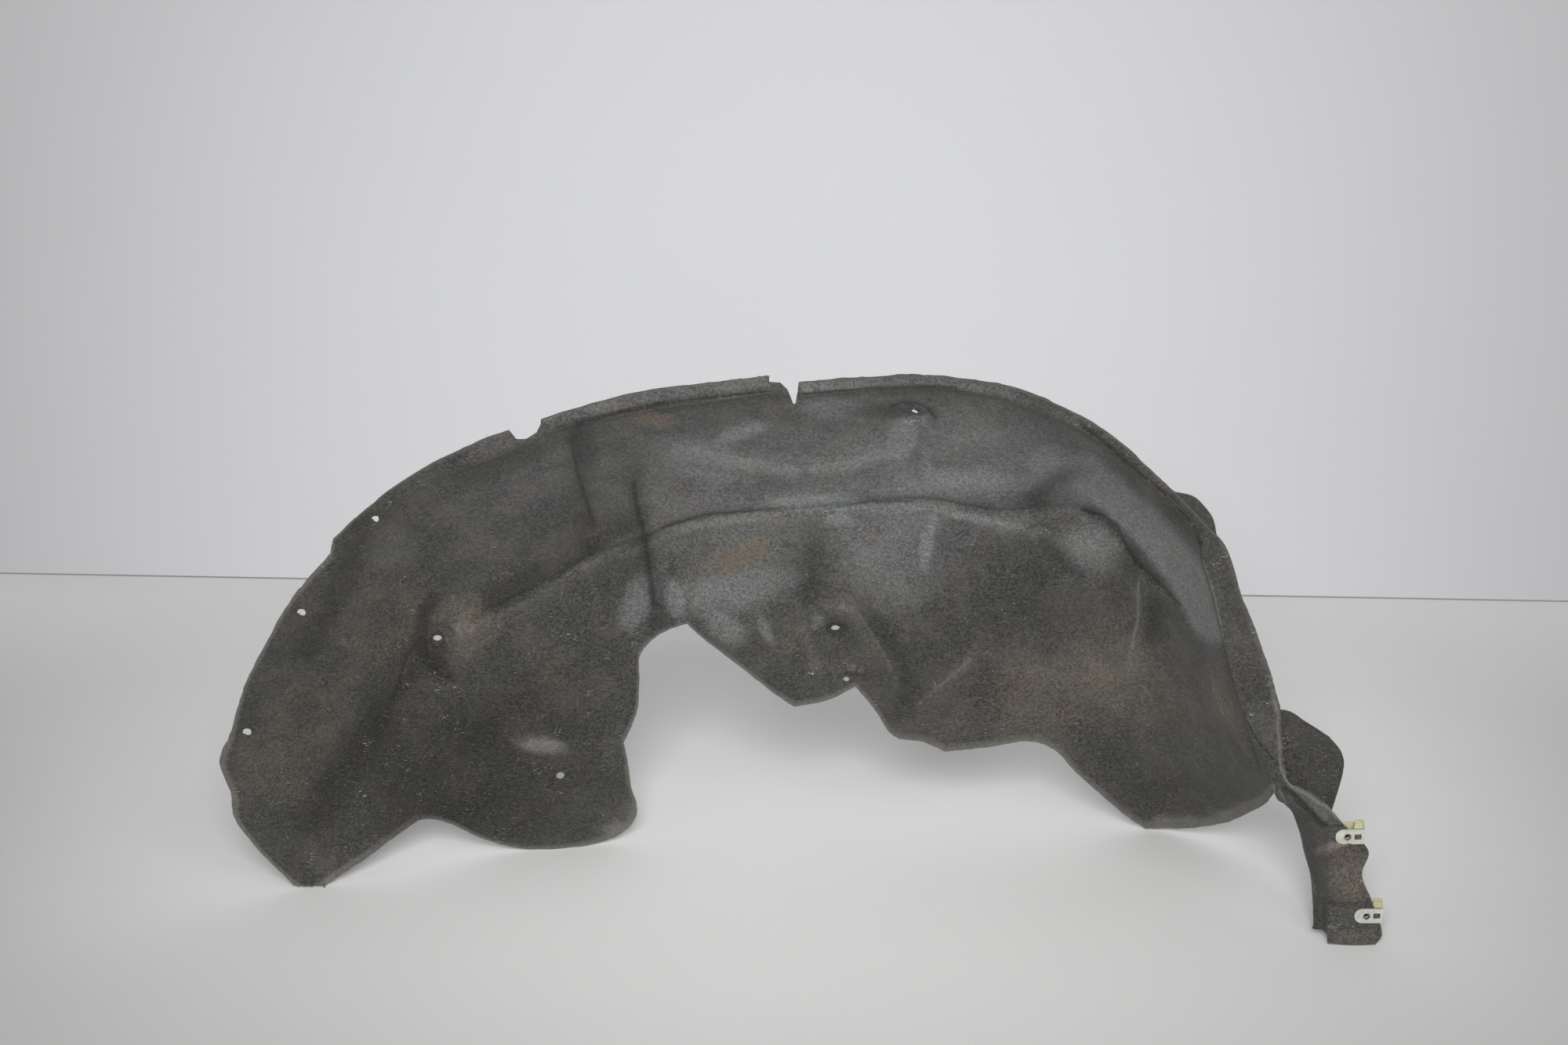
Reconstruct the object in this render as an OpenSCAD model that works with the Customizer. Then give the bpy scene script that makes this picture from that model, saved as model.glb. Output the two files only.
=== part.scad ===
// Rear wheel arch liner: one moulded sheet of needle felt, with two push-on screw clips.
// X runs along the car, from the front foot (-X) to the tail (+X). The wheel side looks to -Y.
// Z is up, and the feet stand on z = 0 under the middle of the outline.

/* [Arch] */
// Length from the front tip to the rear corner
arch_len = 925; // [800:5:1050]
// Height of the lip above the feet
arch_h = 495; // [420:5:570]
// Depth from the lip to the inboard wall
arch_depth = 247; // [200:1:300]
// Thickness of the felt
felt_t = 3; // [2:0.1:4.5]

/* [Lip] */
// How far the ceiling steps back behind the lip
lip_step = 5; // [2:0.5:9]
// Width of the fold between lip and ceiling
lip_fold = 6; // [4:0.5:12]

/* [Creases] */
// Depth of the long crease where the ceiling meets the wall
crease_d = 4; // [2:0.5:7]
// Half width of the long crease
crease_w = 5; // [4:0.5:9]
// Height of the ledge under the long crease
ledge_h = 2.5; // [1:0.5:6]
// Depth of the upright stiffening grooves
groove_d = 6; // [2:0.5:9]
// Height of the raised ribs
rib_h = 5; // [2:0.5:9]
// Depth of the long valley in the front leg
valley_d = 4; // [2:0.5:7]
// Height of the swellings between the creases
swell_h = 8; // [3:0.5:12]

/* [Screw seats] */
// Radius of the screw holes along the front edge
edge_hole_r = 3.5; // [2:0.1:5]
// Radius of the screw holes in the recessed seats
seat_hole_r = 4; // [2:0.1:5]
// Radius of the small drain holes
drain_r = 1.5; // [1:0.1:2]
// Flat radius of a recessed seat
seat_r = 12; // [9:0.5:16]
// Depth of a recessed seat
seat_d = 8; // [3:0.5:12]

/* [Clips] */
// Length of a clip from the screw hole to its bend
clip_reach = 13; // [12:0.5:16]
// Length of a clip from the screw hole to its round end
clip_nose = 10; // [8:0.5:12]
// Height of a clip leg
clip_w = 13; // [11:0.5:16]
// Thickness of a clip leg
clip_t = 1.2; // [0.8:0.1:1.8]
// Gap between the felt and each leg
clip_gap = 0.3; // [0.2:0.05:0.6]
// Radius of the screw hole in a clip
clip_hole_r = 2.5; // [1.5:0.1:3.2]
// Depth from the felt to the back plate of a clip
clip_depth = 16; // [8:0.5:18]

/* [Hidden] */
felt_col = "#4b4844";
clip_col = "#cfcdb8";

// The outline is drawn on a pattern of this size, and the three arch sizes stretch it.
pattern = [925, 247, 495];
stretch = [arch_len / pattern.x, arch_depth / pattern.y, arch_h / pattern.z];
function on(p) = [p.x * stretch.x, p.y * stretch.y, p.z * stretch.z];

// Stations along the arch, from the front foot round the top to the rear corner.
// Each row: outer edge, lip line, break line and lower edge (all x, y, z), and then how far
// the lip is folded and how sharp the break between ceiling and wall is, both 0 to 1.
stations = [
    [[-444, 112, 5], [-440, 114, 3], [-429, 116, 2], [-420, 119, 0], [0, 0]],
    [[-470, 107, 36], [-461, 109, 32], [-439, 122, 24], [-401, 125, 12], [0, 0.1]],
    [[-491, 100, 74], [-482, 102, 69], [-435, 130, 49], [-380, 135, 23], [0, 0.15]],
    [[-492, 95, 101], [-483, 97, 97], [-427, 138, 70], [-354, 147, 40], [0, 0.15]],
    [[-498, 88, 134], [-488, 90, 130], [-412, 146, 92], [-333, 162, 49], [0, 0.15]],
    [[-486, 84, 161], [-478, 86, 157], [-398, 151, 109], [-309, 176, 39], [0, 0.15]],
    [[-470, 78, 205], [-462, 80, 200], [-383, 155, 128], [-267, 193, 9], [0, 0.15]],
    [[-450, 72, 242], [-442, 74, 237], [-368, 157, 154], [-221, 203, 0], [0, 0.15]],
    [[-426, 66, 283], [-419, 68, 276], [-347, 157, 186], [-173, 213, 3], [0, 0.1]],
    [[-404, 61, 310], [-398, 63, 303], [-329, 155, 213], [-146, 218, 18], [0, 0.1]],
    [[-384, 57, 332], [-378, 59, 325], [-310, 152, 234], [-140, 218, 37], [0, 0.1]],
    [[-380, 54, 347], [-373, 56, 338], [-302, 152, 240], [-145, 216, 59], [0, 0.2]],
    [[-342, 47, 381], [-336, 49, 373], [-275, 155, 248], [-148, 214, 86], [0, 0.7]],
    [[-301, 41, 409], [-296, 43, 400], [-247, 160, 261], [-151, 212, 104], [0.3, 1]],
    [[-251, 34, 436], [-248, 36, 419], [-216, 162, 277], [-138, 209, 135], [1, 1]],
    [[-214, 30, 449], [-212, 32, 436], [-196, 163, 288], [-135, 206, 169], [1, 1]],
    [[-179, 27, 462], [-177, 29, 450], [-174, 164, 300], [-133, 203, 196], [1, 1]],
    [[-131, 24, 476], [-128, 26, 461], [-126, 165, 317], [-115, 200, 215], [1, 1]],
    [[-95, 22, 483], [-96, 24, 467], [-97, 162, 331], [-89, 198, 226], [1, 1]],
    [[-67, 20, 487], [-67, 22, 472], [-66, 158, 340], [-72, 203, 208], [1, 1]],
    [[-38, 19, 490], [-38, 21, 476], [-35, 156, 343], [-44, 211, 183], [1, 1]],
    [[-14, 18, 494], [-14, 20, 480], [-10, 154, 345], [-11, 220, 152], [0.9, 0.8]],
    [[12, 17, 488], [12, 19, 478], [11, 152, 347], [10, 224, 136], [0.7, 0.6]],
    [[44, 16, 491], [44, 18, 481], [42, 150, 350], [42, 222, 144], [0.9, 0.8]],
    [[74, 15, 493], [74, 17, 484], [73, 150, 354], [67, 218, 158], [0.9, 0.9]],
    [[106, 14, 495], [106, 16, 486], [104, 150, 356], [87, 224, 131], [0.8, 1]],
    [[133, 13, 493], [132, 15, 485], [132, 150, 356], [104, 230, 104], [0.8, 1]],
    [[161, 12, 490], [160, 14, 481], [163, 153, 349], [131, 232, 98], [0.8, 1]],
    [[189, 10, 484], [186, 12, 474], [188, 156, 344], [153, 234, 87], [0.8, 1]],
    [[223, 8, 471], [219, 10, 462], [217, 154, 346], [191, 234, 91], [0.8, 0.6]],
    [[255, 6, 454], [250, 8, 446], [244, 150, 351], [232, 235, 97], [0.8, 0.4]],
    [[279, 5, 435], [273, 7, 428], [269, 147, 347], [258, 237, 88], [0.8, 0.7]],
    [[302, 4, 414], [294, 6, 410], [288, 143, 335], [280, 240, 64], [0.8, 1]],
    [[325, 4, 393], [315, 6, 391], [303, 138, 317], [306, 243, 39], [0.9, 1]],
    [[345, 3, 372], [332, 5, 374], [318, 132, 298], [330, 246, 17], [1, 1]],
    [[362, 2, 353], [340, 4, 353], [331, 124, 287], [351, 247, 2], [1, 0.8]],
    [[377, 1, 311], [355, 3, 312], [348, 106, 266], [371, 241, 5], [1, 0.3]],
    [[390, 0, 283], [362, 2, 282], [360, 88, 236], [393, 222, 14], [1, 0]],
    [[403, 0, 250], [372, 2, 248], [371, 70, 205], [415, 195, 30], [1, 0]],
    [[413, 0, 218], [381, 2, 219], [383, 52, 180], [426, 152, 58], [0.8, 0]],
    [[417, 0, 184], [394, 2, 187], [396, 32, 159], [427, 92, 92], [0.6, 0]],
    [[422, 0, 156], [411, 2, 160], [413, 8, 149], [416, 12, 140], [0.3, 0]],
];
outer_corners = [10, 11, 21, 22, 38];
lower_corners = [13, 18, 22, 24, 28, 35];
outer_line = [for (s = stations) [on(s[0]), on(s[1]), [s[4][0], s[4][1], 0]]];
lower_line = [for (s = stations) [on(s[2]), on(s[3])]];
last_u = len(stations) - 1;

// A smooth curve through the items of a list, which are points or lists of points.
// It stops and turns at the listed corners.
function has(list, i) = len([for (k = list) if (k == i) k]) > 0;
function slope(list, i, corners) =
    has(corners, i) ? 0 * list[i]
    : i == 0 ? list[1] - list[0]
    : i == len(list) - 1 ? list[i] - list[i - 1]
    : (list[i + 1] - list[i - 1]) / 2;
function along(list, u, corners = []) =
    let (i = min(max(floor(u), 0), len(list) - 2), f = u - i)
    (2 * pow(f, 3) - 3 * pow(f, 2) + 1) * list[i]
    + (pow(f, 3) - 2 * pow(f, 2) + f) * slope(list, i, corners)
    + (3 * pow(f, 2) - 2 * pow(f, 3)) * list[i + 1]
    + (pow(f, 3) - pow(f, 2)) * slope(list, i + 1, corners);
function mix(a, b, f) = a + (b - a) * f;
function smooth(f) = let (g = min(max(f, 0), 1)) g * g * (3 - 2 * g);

// The four curves of a station: edge, lip line, break line, lower edge, and the two sharpnesses
function station(u) =
    let (a = along(outer_line, u, outer_corners), b = along(lower_line, u, lower_corners))
    [a[0], a[1], b[0], b[1], a[2]];
function span(a, b) = norm([b.x - a.x, b.z - a.z]);
function fold_width(s) = min(lip_fold, span(s[1], s[2]) / 4);

// The plain dome. v runs over the lip from -1 to 0, down the ceiling to 1 and down the wall to 2.
function dome_at(s, v) =
    let (
        fold = s[4][0] * lip_step * smooth(v * span(s[1], s[2]) / fold_width(s)),
        roof = mix(s[1], s[2], v),
        wall = mix(s[2], s[3], v - 1)
    )
    v < 0 ? mix(s[0], s[1], 1 + v)
    : v <= 1 ? [roof.x, mix(s[1].y, s[2].y, (v + sin(90 * v)) / 2) + fold * (1 - v), roof.z]
    : [wall.x, mix(s[2].y, s[3].y, 0.6 * (v - 1) + 0.4 * sin(90 * (v - 1))), wall.z];
function dome(u, v) = dome_at(station(u), v);

// The dark crease along the break line, and the ledge under it
function crease(s, v) =
    let (
        d = v < 1 ? (v - 1) * span(s[1], s[2]) : (v - 1) * span(s[2], s[3]),
        room = smooth(span(s[2], s[3]) / (6 * crease_w))
    )
    s[4][1] * room * (crease_d * exp(-pow(d / crease_w, 2))
        - ledge_h * exp(-pow((d - 2 * crease_w) / (1.2 * crease_w), 2)));

// Moulded lines, drawn on the pattern as x, z points. Each row: line, height, half width.
// A positive height sinks away from the wheel, a negative one rises towards it.
front_valley = [[-334, 202], [-361, 158], [-386, 119], [-412, 93], [-430, 62]];
moulded = [
    [[[-83, 416], [-44, 400], [7, 388], [40, 395], [72, 399]], -rib_h, 13],
    [[[-177, 445], [-174, 305]], groove_d / 2, 9],
    [[[-128, 390], [-126, 317], [-116, 225]], groove_d * 0.8, 9],
    [[[120, 402], [122, 380]], groove_d / 2, 8],
    [[[132, 323], [127, 278]], -rib_h / 2, 9],
    [[[183, 333], [210, 326], [242, 316]], -rib_h / 2, 9],
    [[[222, 355], [253, 398]], groove_d / 2, 12],
    [[[277, 309]], -swell_h, 22],
    [[[321, 277], [322, 249], [320, 215], [317, 183]], -rib_h, 9],
    [[[333, 266], [334, 229]], groove_d / 2, 10],
    [[[23, 241], [62, 241]], -rib_h * 0.8, 13],
    [[[62, 242], [77, 213], [99, 186]], -rib_h, 9],
    [[[11, 242], [23, 202], [30, 176]], -rib_h * 0.8, 9],
    [[[118, 115], [152, 153], [177, 191]], -rib_h, 9],
    [front_valley, valley_d, 16],
    [[[-283, 236]], -swell_h * 0.8, 16],
    [[[-246, 119], [-203, 97]], -rib_h * 0.8, 14],
    [[[-44, 297]], -swell_h / 2, 45],
];
function to_segment(p, a, b) =
    let (ab = b - a, f = min(max((p - a) * ab / (ab * ab), 0), 1)) norm(p - a - f * ab);
function to_line(p, line) =
    len(line) == 1 ? norm(p - line[0])
    : min([for (i = [0:len(line) - 2]) to_segment(p, line[i], line[i + 1])]);
function relief(q) =
    let (p = [q.x / stretch.x, q.z / stretch.z])
    vsum([for (m = moulded) m[1] * exp(-pow(to_line(p, m[0]) / m[2], 2))]);
function vsum(list, i = 0) = i == len(list) ? 0 : list[i] + vsum(list, i + 1);

// Screw seats. Each row: station, v, hole radius, flat radius, recess, share of the dome's lean.
edge_seat_r = 10;
seat_table = [
    [11.83, 0.01, edge_hole_r, edge_seat_r, 0, 1],
    [8.13, 0.03, edge_hole_r, edge_seat_r, 0, 1],
    [5.18, 0.04, edge_hole_r, edge_seat_r, 0, 1],
    [9.61, 1.017, seat_hole_r, seat_r, seat_d, 1.2],
    [8.71, 1.679, seat_hole_r, seat_r, 0, 1],
    [23.17, 1.639, seat_hole_r, seat_r, seat_d / 2, 2],
    [25.14, 0.234, seat_hole_r, seat_r, seat_d / 2, 1.8],
];
seat_blend = 1.9;
drain_table = [[23.5, 1.93], [22.6, 1.84]];
nudge = 0.02;
function dome_normal(u, v) =
    let (n = cross(dome(u, v + nudge) - dome(u, v - nudge), dome(u + nudge, v) - dome(u - nudge, v)))
    n / norm(n) * sign(n.y);
// A seat as centre, normal, flat radius and hole radius
function seat(s) =
    let (
        c = dome(s[0], s[1]),
        n = dome_normal(s[0], s[1]),
        m = [n.x * s[5], n.y, n.z * s[5]]
    )
    [c + [0, s[4], 0], m / norm(m), s[3], s[2]];
seats = [for (s = seat_table) seat(s)];
function seated(p, i = 0) =
    i == len(seats) ? p
    : let (
        s = seats[i],
        on_plane = s[0].y - (s[1].x * (p.x - s[0].x) + s[1].z * (p.z - s[0].z)) / s[1].y,
        away = norm([p.x - s[0].x, on_plane - s[0].y, p.z - s[0].z]),
        share = 1 - smooth((away - s[2]) / (s[2] * (seat_blend - 1)))
    )
    seated([p.x, mix(p.y, on_plane, share), p.z], i + 1);

// The wheel side of the felt, with its moulded lines fading out towards the lip
lip_fade = 15;
function face_at(s, v) =
    let (
        p = dome_at(s, v),
        d = v < 0 ? 0 : (relief(p) + crease(s, v)) * smooth(v * span(s[1], s[2]) / lip_fade)
    )
    seated([p.x, p.y + d, max(p.z, 0)]);
function face(u, v) = face_at(station(u), v);

// Grid of the moulded sheet, with more columns where the upright grooves and the seats are
col_steps = 2;
fine_steps = 4;
fine_at = [11, 15, 16, 17, 22, 23, 25];
roof_rows = 8;
wall_rows = 8;
function steps_at(i) = has(fine_at, i) ? fine_steps : col_steps;
cols = concat(
    [for (i = [0:last_u - 1]) for (k = [0:steps_at(i) - 1]) i + k / steps_at(i)],
    [last_u]
);
function under_crease(s) = 2 * min(crease_w / span(s[2], s[3]), 0.15);
function rows_at(s) =
    let (
        fold = fold_width(s) / span(s[1], s[2]),
        above = 1 - min(crease_w / span(s[1], s[2]), 0.2)
    )
    concat(
        [-1, -0.5, 0, fold / 2],
        [for (j = [0:roof_rows]) mix(fold, above, j / roof_rows)],
        [1, 1 + under_crease(s) / 2],
        [for (j = [0:wall_rows]) mix(1 + under_crease(s), 2, j / wall_rows)]
    );
// The two rows beside a seat in the wall are drawn in to its hole, so that its flat stays flat
seat_rows_at = [for (s = seat_table) if (s[1] > 1.2) s];
seat_room = 3;
function drawn_in(u, s, v, i = 0) =
    i == len(seat_rows_at) ? v
    : let (
        seat = seat_rows_at[i],
        away = abs(u - seat[0]) - 0.6,
        from_seat = v - seat[1],
        beside = (seat[2] + seat_room) / span(s[2], s[3]),
        held = abs(from_seat) < (1 - under_crease(s)) / wall_rows ? 1 - smooth(away / 0.8) : 0
    )
    drawn_in(u, s, mix(v, seat[1] + sign(from_seat) * beside, held), i + 1);
shell_grid = [for (u = cols) let (s = station(u))
    [for (v = rows_at(s)) face_at(s, drawn_in(u, s, v))]];

// A sheet of even thickness behind a grid of points. The back lies along the grid's normals.
function at_grid(g, i, j) = g[min(max(i, 0), len(g) - 1)][min(max(j, 0), len(g[0]) - 1)];
function grid_normal(g, i, j) =
    let (n = cross(at_grid(g, i + 1, j) - at_grid(g, i - 1, j), at_grid(g, i, j + 1) - at_grid(g, i, j - 1)))
    n / norm(n);
function back_of(g, t) =
    [for (i = [0:len(g) - 1]) [for (j = [0:len(g[0]) - 1]) g[i][j] + t * grid_normal(g, i, j)]];
module sheet(g, t) {
    ni = len(g);
    nj = len(g[0]);
    b = back_of(g, t);
    half = ni * nj;
    function id(i, j) = i * nj + j;
    rim = concat(
        [for (i = [0:ni - 1]) id(i, 0)],
        [for (j = [1:nj - 1]) id(ni - 1, j)],
        [for (i = [ni - 2:-1:0]) id(i, nj - 1)],
        [for (j = [nj - 2:-1:1]) id(0, j)]
    );
    front = [for (i = [0:ni - 2]) for (j = [0:nj - 2]) each [
        [id(i, j), id(i + 1, j), id(i + 1, j + 1)], [id(i, j), id(i + 1, j + 1), id(i, j + 1)]]];
    back = [for (f = front) [f[0] + half, f[2] + half, f[1] + half]];
    side = [for (k = [0:len(rim) - 1]) let (a = rim[k], c = rim[(k + 1) % len(rim)]) each [
        [a, a + half, c + half], [a, c + half, c]]];
    polyhedron([each [for (r = g) each r], each [for (r = b) each r]], concat(front, back, side));
}
function net_grid(net, ni, nj, row_corners = [], col_corners = []) =
    [for (i = [0:ni]) let (row = along(net, i / ni * (len(net) - 1), row_corners))
        [for (j = [0:nj]) along(row, j / nj * (len(row) - 1), col_corners)]];

// Strap and tail: the lip runs on as a strap and turns down into an L-shaped tail.
// The rows follow the strap down, from its free edge over the fold to the back of the wing.
tail_drawn = [
    [[424, 1, 151], [421, 1, 147], [419, 1, 143], [417, 5, 139], [416, 10, 135]],
    [[441, 12, 139], [437, 7, 133], [434, 2, 127], [431, 14, 122], [429, 27, 119]],
    [[460, 12, 126], [456, 6, 120], [451, 1, 114], [445, 20, 108], [440, 42, 105]],
    [[480, 0, 112], [470, 0, 112], [459, 0, 109], [452, 17, 94], [446, 34, 88]],
    [[496, 0, 88], [478, 0, 90], [461, 0, 90], [456, 17, 76], [450, 33, 72]],
    [[492, 0, 66], [478, 0, 66], [463, 0, 66], [460, 15, 56], [456, 30, 52]],
    [[502, 0, 42], [481, 0, 42], [464, 0, 40], [462, 12, 33], [458, 24, 30]],
    [[513, 0, 13], [488, 0, 15], [466, 0, 16], [464, 8, 14], [458, 17, 13]],
    [[508, 0, 1], [490, 0, 0], [469, 0, 2], [467, 5, 5], [465, 10, 8]],
];
strap_root = [for (k = [0:4]) face(last_u - 0.8, -0.95 + 0.18 * k) + [0, felt_t * 0.35, 0]];
tail_net = concat([strap_root], [for (r = tail_drawn) [for (p = r) on(p)]]);
tail_grid = net_grid(tail_net, 27, 12, [4], [2]);

// Rear flap, which runs from the side wall to the back of the tail's wing
flap_root = [for (s = [[39, 0.75], [39.5, 1], [40, 1.2], [40.2, 1.3]])
    face(s[0], s[1]) + felt_t * 0.3 * dome_normal(s[0], s[1])];
flap_drawn = [
    [[425, 44, 199], [448, 45, 187], [468, 45, 174]],
    [[428, 44, 178], [455, 45, 168], [479, 45, 160]],
    [[431, 42, 150], [458, 44, 143], [481, 44, 142]],
    [[437, 41, 114], [456, 40, 100], [471, 40, 101]],
];
flap_net = [for (i = [0:3]) concat([flap_root[i]], [for (p = flap_drawn[i]) on(p)])];
flap_grid = net_grid(flap_net, 9, 8);

// Rounded ear behind the lip
ear_stations = [32.7, 33.1, 33.5, 33.9, 34.3];
ear_drawn = [[319, 8, 400], [334, 9, 396], [344, 9, 387], [351, 8, 377], [354, 5, 364]];
ear_net = [
    [for (u = ear_stations) face(u, -0.3) + [0, felt_t * 0.4, 0]],
    [for (p = ear_drawn) on(p)],
];
ear_grid = net_grid(ear_net, 4, 12);

// Cuts in the lip, drawn on the pattern as x, z points
slit = [[-12, 520], [-12, 488.5], [-3, 488], [3, 482], [7.5, 466], [9.5, 466], [12, 490], [12, 520]];
notch = [[-228, 480], [-226, 446], [-220, 438], [-212, 438], [-203, 444], [-199, 452], [-198, 480]];
cut_from = -10;
cut_to = 60;
module lip_cut(shape) {
    translate([0, cut_to, 0]) rotate([90, 0, 0]) linear_extrude(cut_to - cut_from)
        polygon([for (p = shape) [p.x * stretch.x, p.y * stretch.z]]);
}
module clip_cut(spot) {
    translate(spot + [clip_reach - clip_gap, -felt_t, -clip_w / 2 - clip_gap])
        cube([clip_reach, 3 * felt_t, clip_w + 2 * clip_gap]);
}
module bore(c, n, r, reach = 10) {
    translate(c) rotate([0, acos(n.z), atan2(n.y, n.x)])
        cylinder(r = r, h = 2 * reach, center = true, $fn = 32);
}

// Places of the clips on the tail, at their screw holes
clip_spots = [on([477, 0, 101]), on([498, 0, 28])];
clip_back = felt_t + clip_gap;
window_w = 6;
window_h = 5;
shelf_w = 6.5;
barrel_wall = 2;

// The whole part is moved so that the middle of its outline stands over the origin
all_x = [for (r = shell_grid) for (p = r) p.x];
all_y = [for (r = back_of(shell_grid, felt_t)) for (p = r) p.y];
mid_x = (min(all_x) + clip_spots[1].x + clip_reach + clip_t) / 2;
mid_y = (max(all_y) - clip_gap - clip_t) / 2;
module in_place() {
    translate([-mid_x, -mid_y, 0]) children();
}

module liner_shell() {
    color(felt_col) in_place() difference() {
        union() {
            sheet(shell_grid, felt_t);
            sheet(tail_grid, felt_t);
            sheet(flap_grid, felt_t);
            sheet(ear_grid, felt_t);
        }
        for (s = seats) bore(s[0], s[1], s[3]);
        for (d = drain_table) bore(face(d[0], d[1]), dome_normal(d[0], d[1]), drain_r);
        for (c = clip_spots) bore(c, [0, 1, 0], clip_hole_r + 1.5);
        lip_cut(slit);
        lip_cut(notch);
        for (c = clip_spots) clip_cut(c);
    }
}

// A plate of a clip, from the end wall to its round end at the given distance past the screw hole
module clip_plate(y, nose, r) {
    translate([0, y + clip_t, 0]) rotate([90, 0, 0]) linear_extrude(clip_t) {
        translate([r - nose, 0]) circle(r = r, $fn = 48);
        translate([r - nose, -r]) square([clip_reach + clip_t + nose - r, 2 * r]);
    }
}
module clip_shelf(z) {
    translate([clip_reach - shelf_w, clip_back, z]) cube([shelf_w + clip_t, clip_depth + clip_t, clip_t]);
}
module clip(spot) {
    barrel_r = clip_hole_r + barrel_wall;
    color(clip_col) in_place() translate(spot) difference() {
        union() {
            clip_plate(-clip_gap - clip_t, clip_nose, clip_w / 2);
            clip_plate(clip_back + clip_depth, barrel_r, barrel_r);
            translate([clip_reach, -clip_gap - clip_t, -clip_w / 2])
                cube([clip_t, clip_back + clip_depth + clip_gap + 2 * clip_t, clip_w]);
            for (z = [-clip_w / 2, -clip_t / 2, clip_w / 2 - clip_t]) clip_shelf(z);
            translate([0, clip_back, 0]) rotate([-90, 0, 0])
                cylinder(r = barrel_r, h = clip_depth + clip_t, $fn = 48);
        }
        rotate([-90, 0, 0])
            cylinder(r = clip_hole_r, h = 3 * (clip_back + clip_depth), center = true, $fn = 48);
        translate([clip_reach - window_w - 1, -clip_back, -window_h / 2])
            cube([window_w, clip_back, window_h]);
    }
}
module clip_upper() { clip(clip_spots[0]); }
module clip_lower() { clip(clip_spots[1]); }

liner_shell();
clip_upper();
clip_lower();
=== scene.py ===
"""Wheel arch liner: the moulded felt sheet, its loose edge fibres and the two clips, around the CAD frame."""
import math

import bmesh
import bpy
import numpy as np
from mathutils import Matrix, Vector, bvhtree, kdtree


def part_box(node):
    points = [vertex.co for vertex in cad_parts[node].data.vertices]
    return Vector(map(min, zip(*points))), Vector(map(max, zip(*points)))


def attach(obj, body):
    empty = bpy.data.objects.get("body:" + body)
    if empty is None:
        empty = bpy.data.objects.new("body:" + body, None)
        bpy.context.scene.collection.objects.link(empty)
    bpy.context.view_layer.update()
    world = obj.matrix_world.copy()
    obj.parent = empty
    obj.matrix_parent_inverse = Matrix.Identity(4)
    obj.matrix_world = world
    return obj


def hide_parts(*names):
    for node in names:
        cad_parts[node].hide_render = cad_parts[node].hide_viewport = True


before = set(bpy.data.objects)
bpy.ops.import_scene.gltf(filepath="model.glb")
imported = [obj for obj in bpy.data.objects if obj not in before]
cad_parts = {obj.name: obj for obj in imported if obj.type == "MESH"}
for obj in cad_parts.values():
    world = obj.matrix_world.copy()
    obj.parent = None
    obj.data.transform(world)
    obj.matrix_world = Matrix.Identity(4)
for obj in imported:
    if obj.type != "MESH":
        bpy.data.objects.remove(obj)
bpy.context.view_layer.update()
MM = 0.001

# Sizes of the source, in millimetres and in its own drawing frame
FELT_T = 3.0
LIP_STEP, LIP_FOLD, LIP_FADE = 5.0, 6.0, 15.0
CREASE_D, CREASE_W, LEDGE_H = 4.0, 5.0, 2.5
GROOVE_D, RIB_H, VALLEY_D, SWELL_H = 6.0, 5.0, 4.0, 8.0
SEAT_R, SEAT_D, SEAT_HOLE_R, EDGE_HOLE_R, EDGE_SEAT_R, DRAIN_R = 12.0, 8.0, 4.0, 3.5, 10.0, 1.5
CLIP_REACH, CLIP_NOSE, CLIP_W, CLIP_T, CLIP_GAP, CLIP_HOLE_R, CLIP_DEPTH = 13.0, 10.0, 13.0, 1.2, 0.3, 2.5, 16.0
SHELF_W, BARREL_R, CLIP_LEAN, LEAN_FROM = 6.5, CLIP_HOLE_R + 2, 0.28, 5.2
CLIP_SPOTS = [(477.0, 0.0, 101.0), (498.0, 0.0, 28.0)]
CLIP_BACK = FELT_T + CLIP_GAP
upper_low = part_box("clip_upper")[0] / MM
MID = np.array([CLIP_SPOTS[0][0] - CLIP_NOSE - upper_low.x, -CLIP_GAP - CLIP_T - upper_low.y, 0.0])

# The photograph's camera in the drawing frame
FOCAL_PX, WIDE, HIGH = 2747.0, 2000, 1333
CAM_H, CAM_D, CAM_PITCH = 830.0, 1693.5, math.radians(15)

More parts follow.
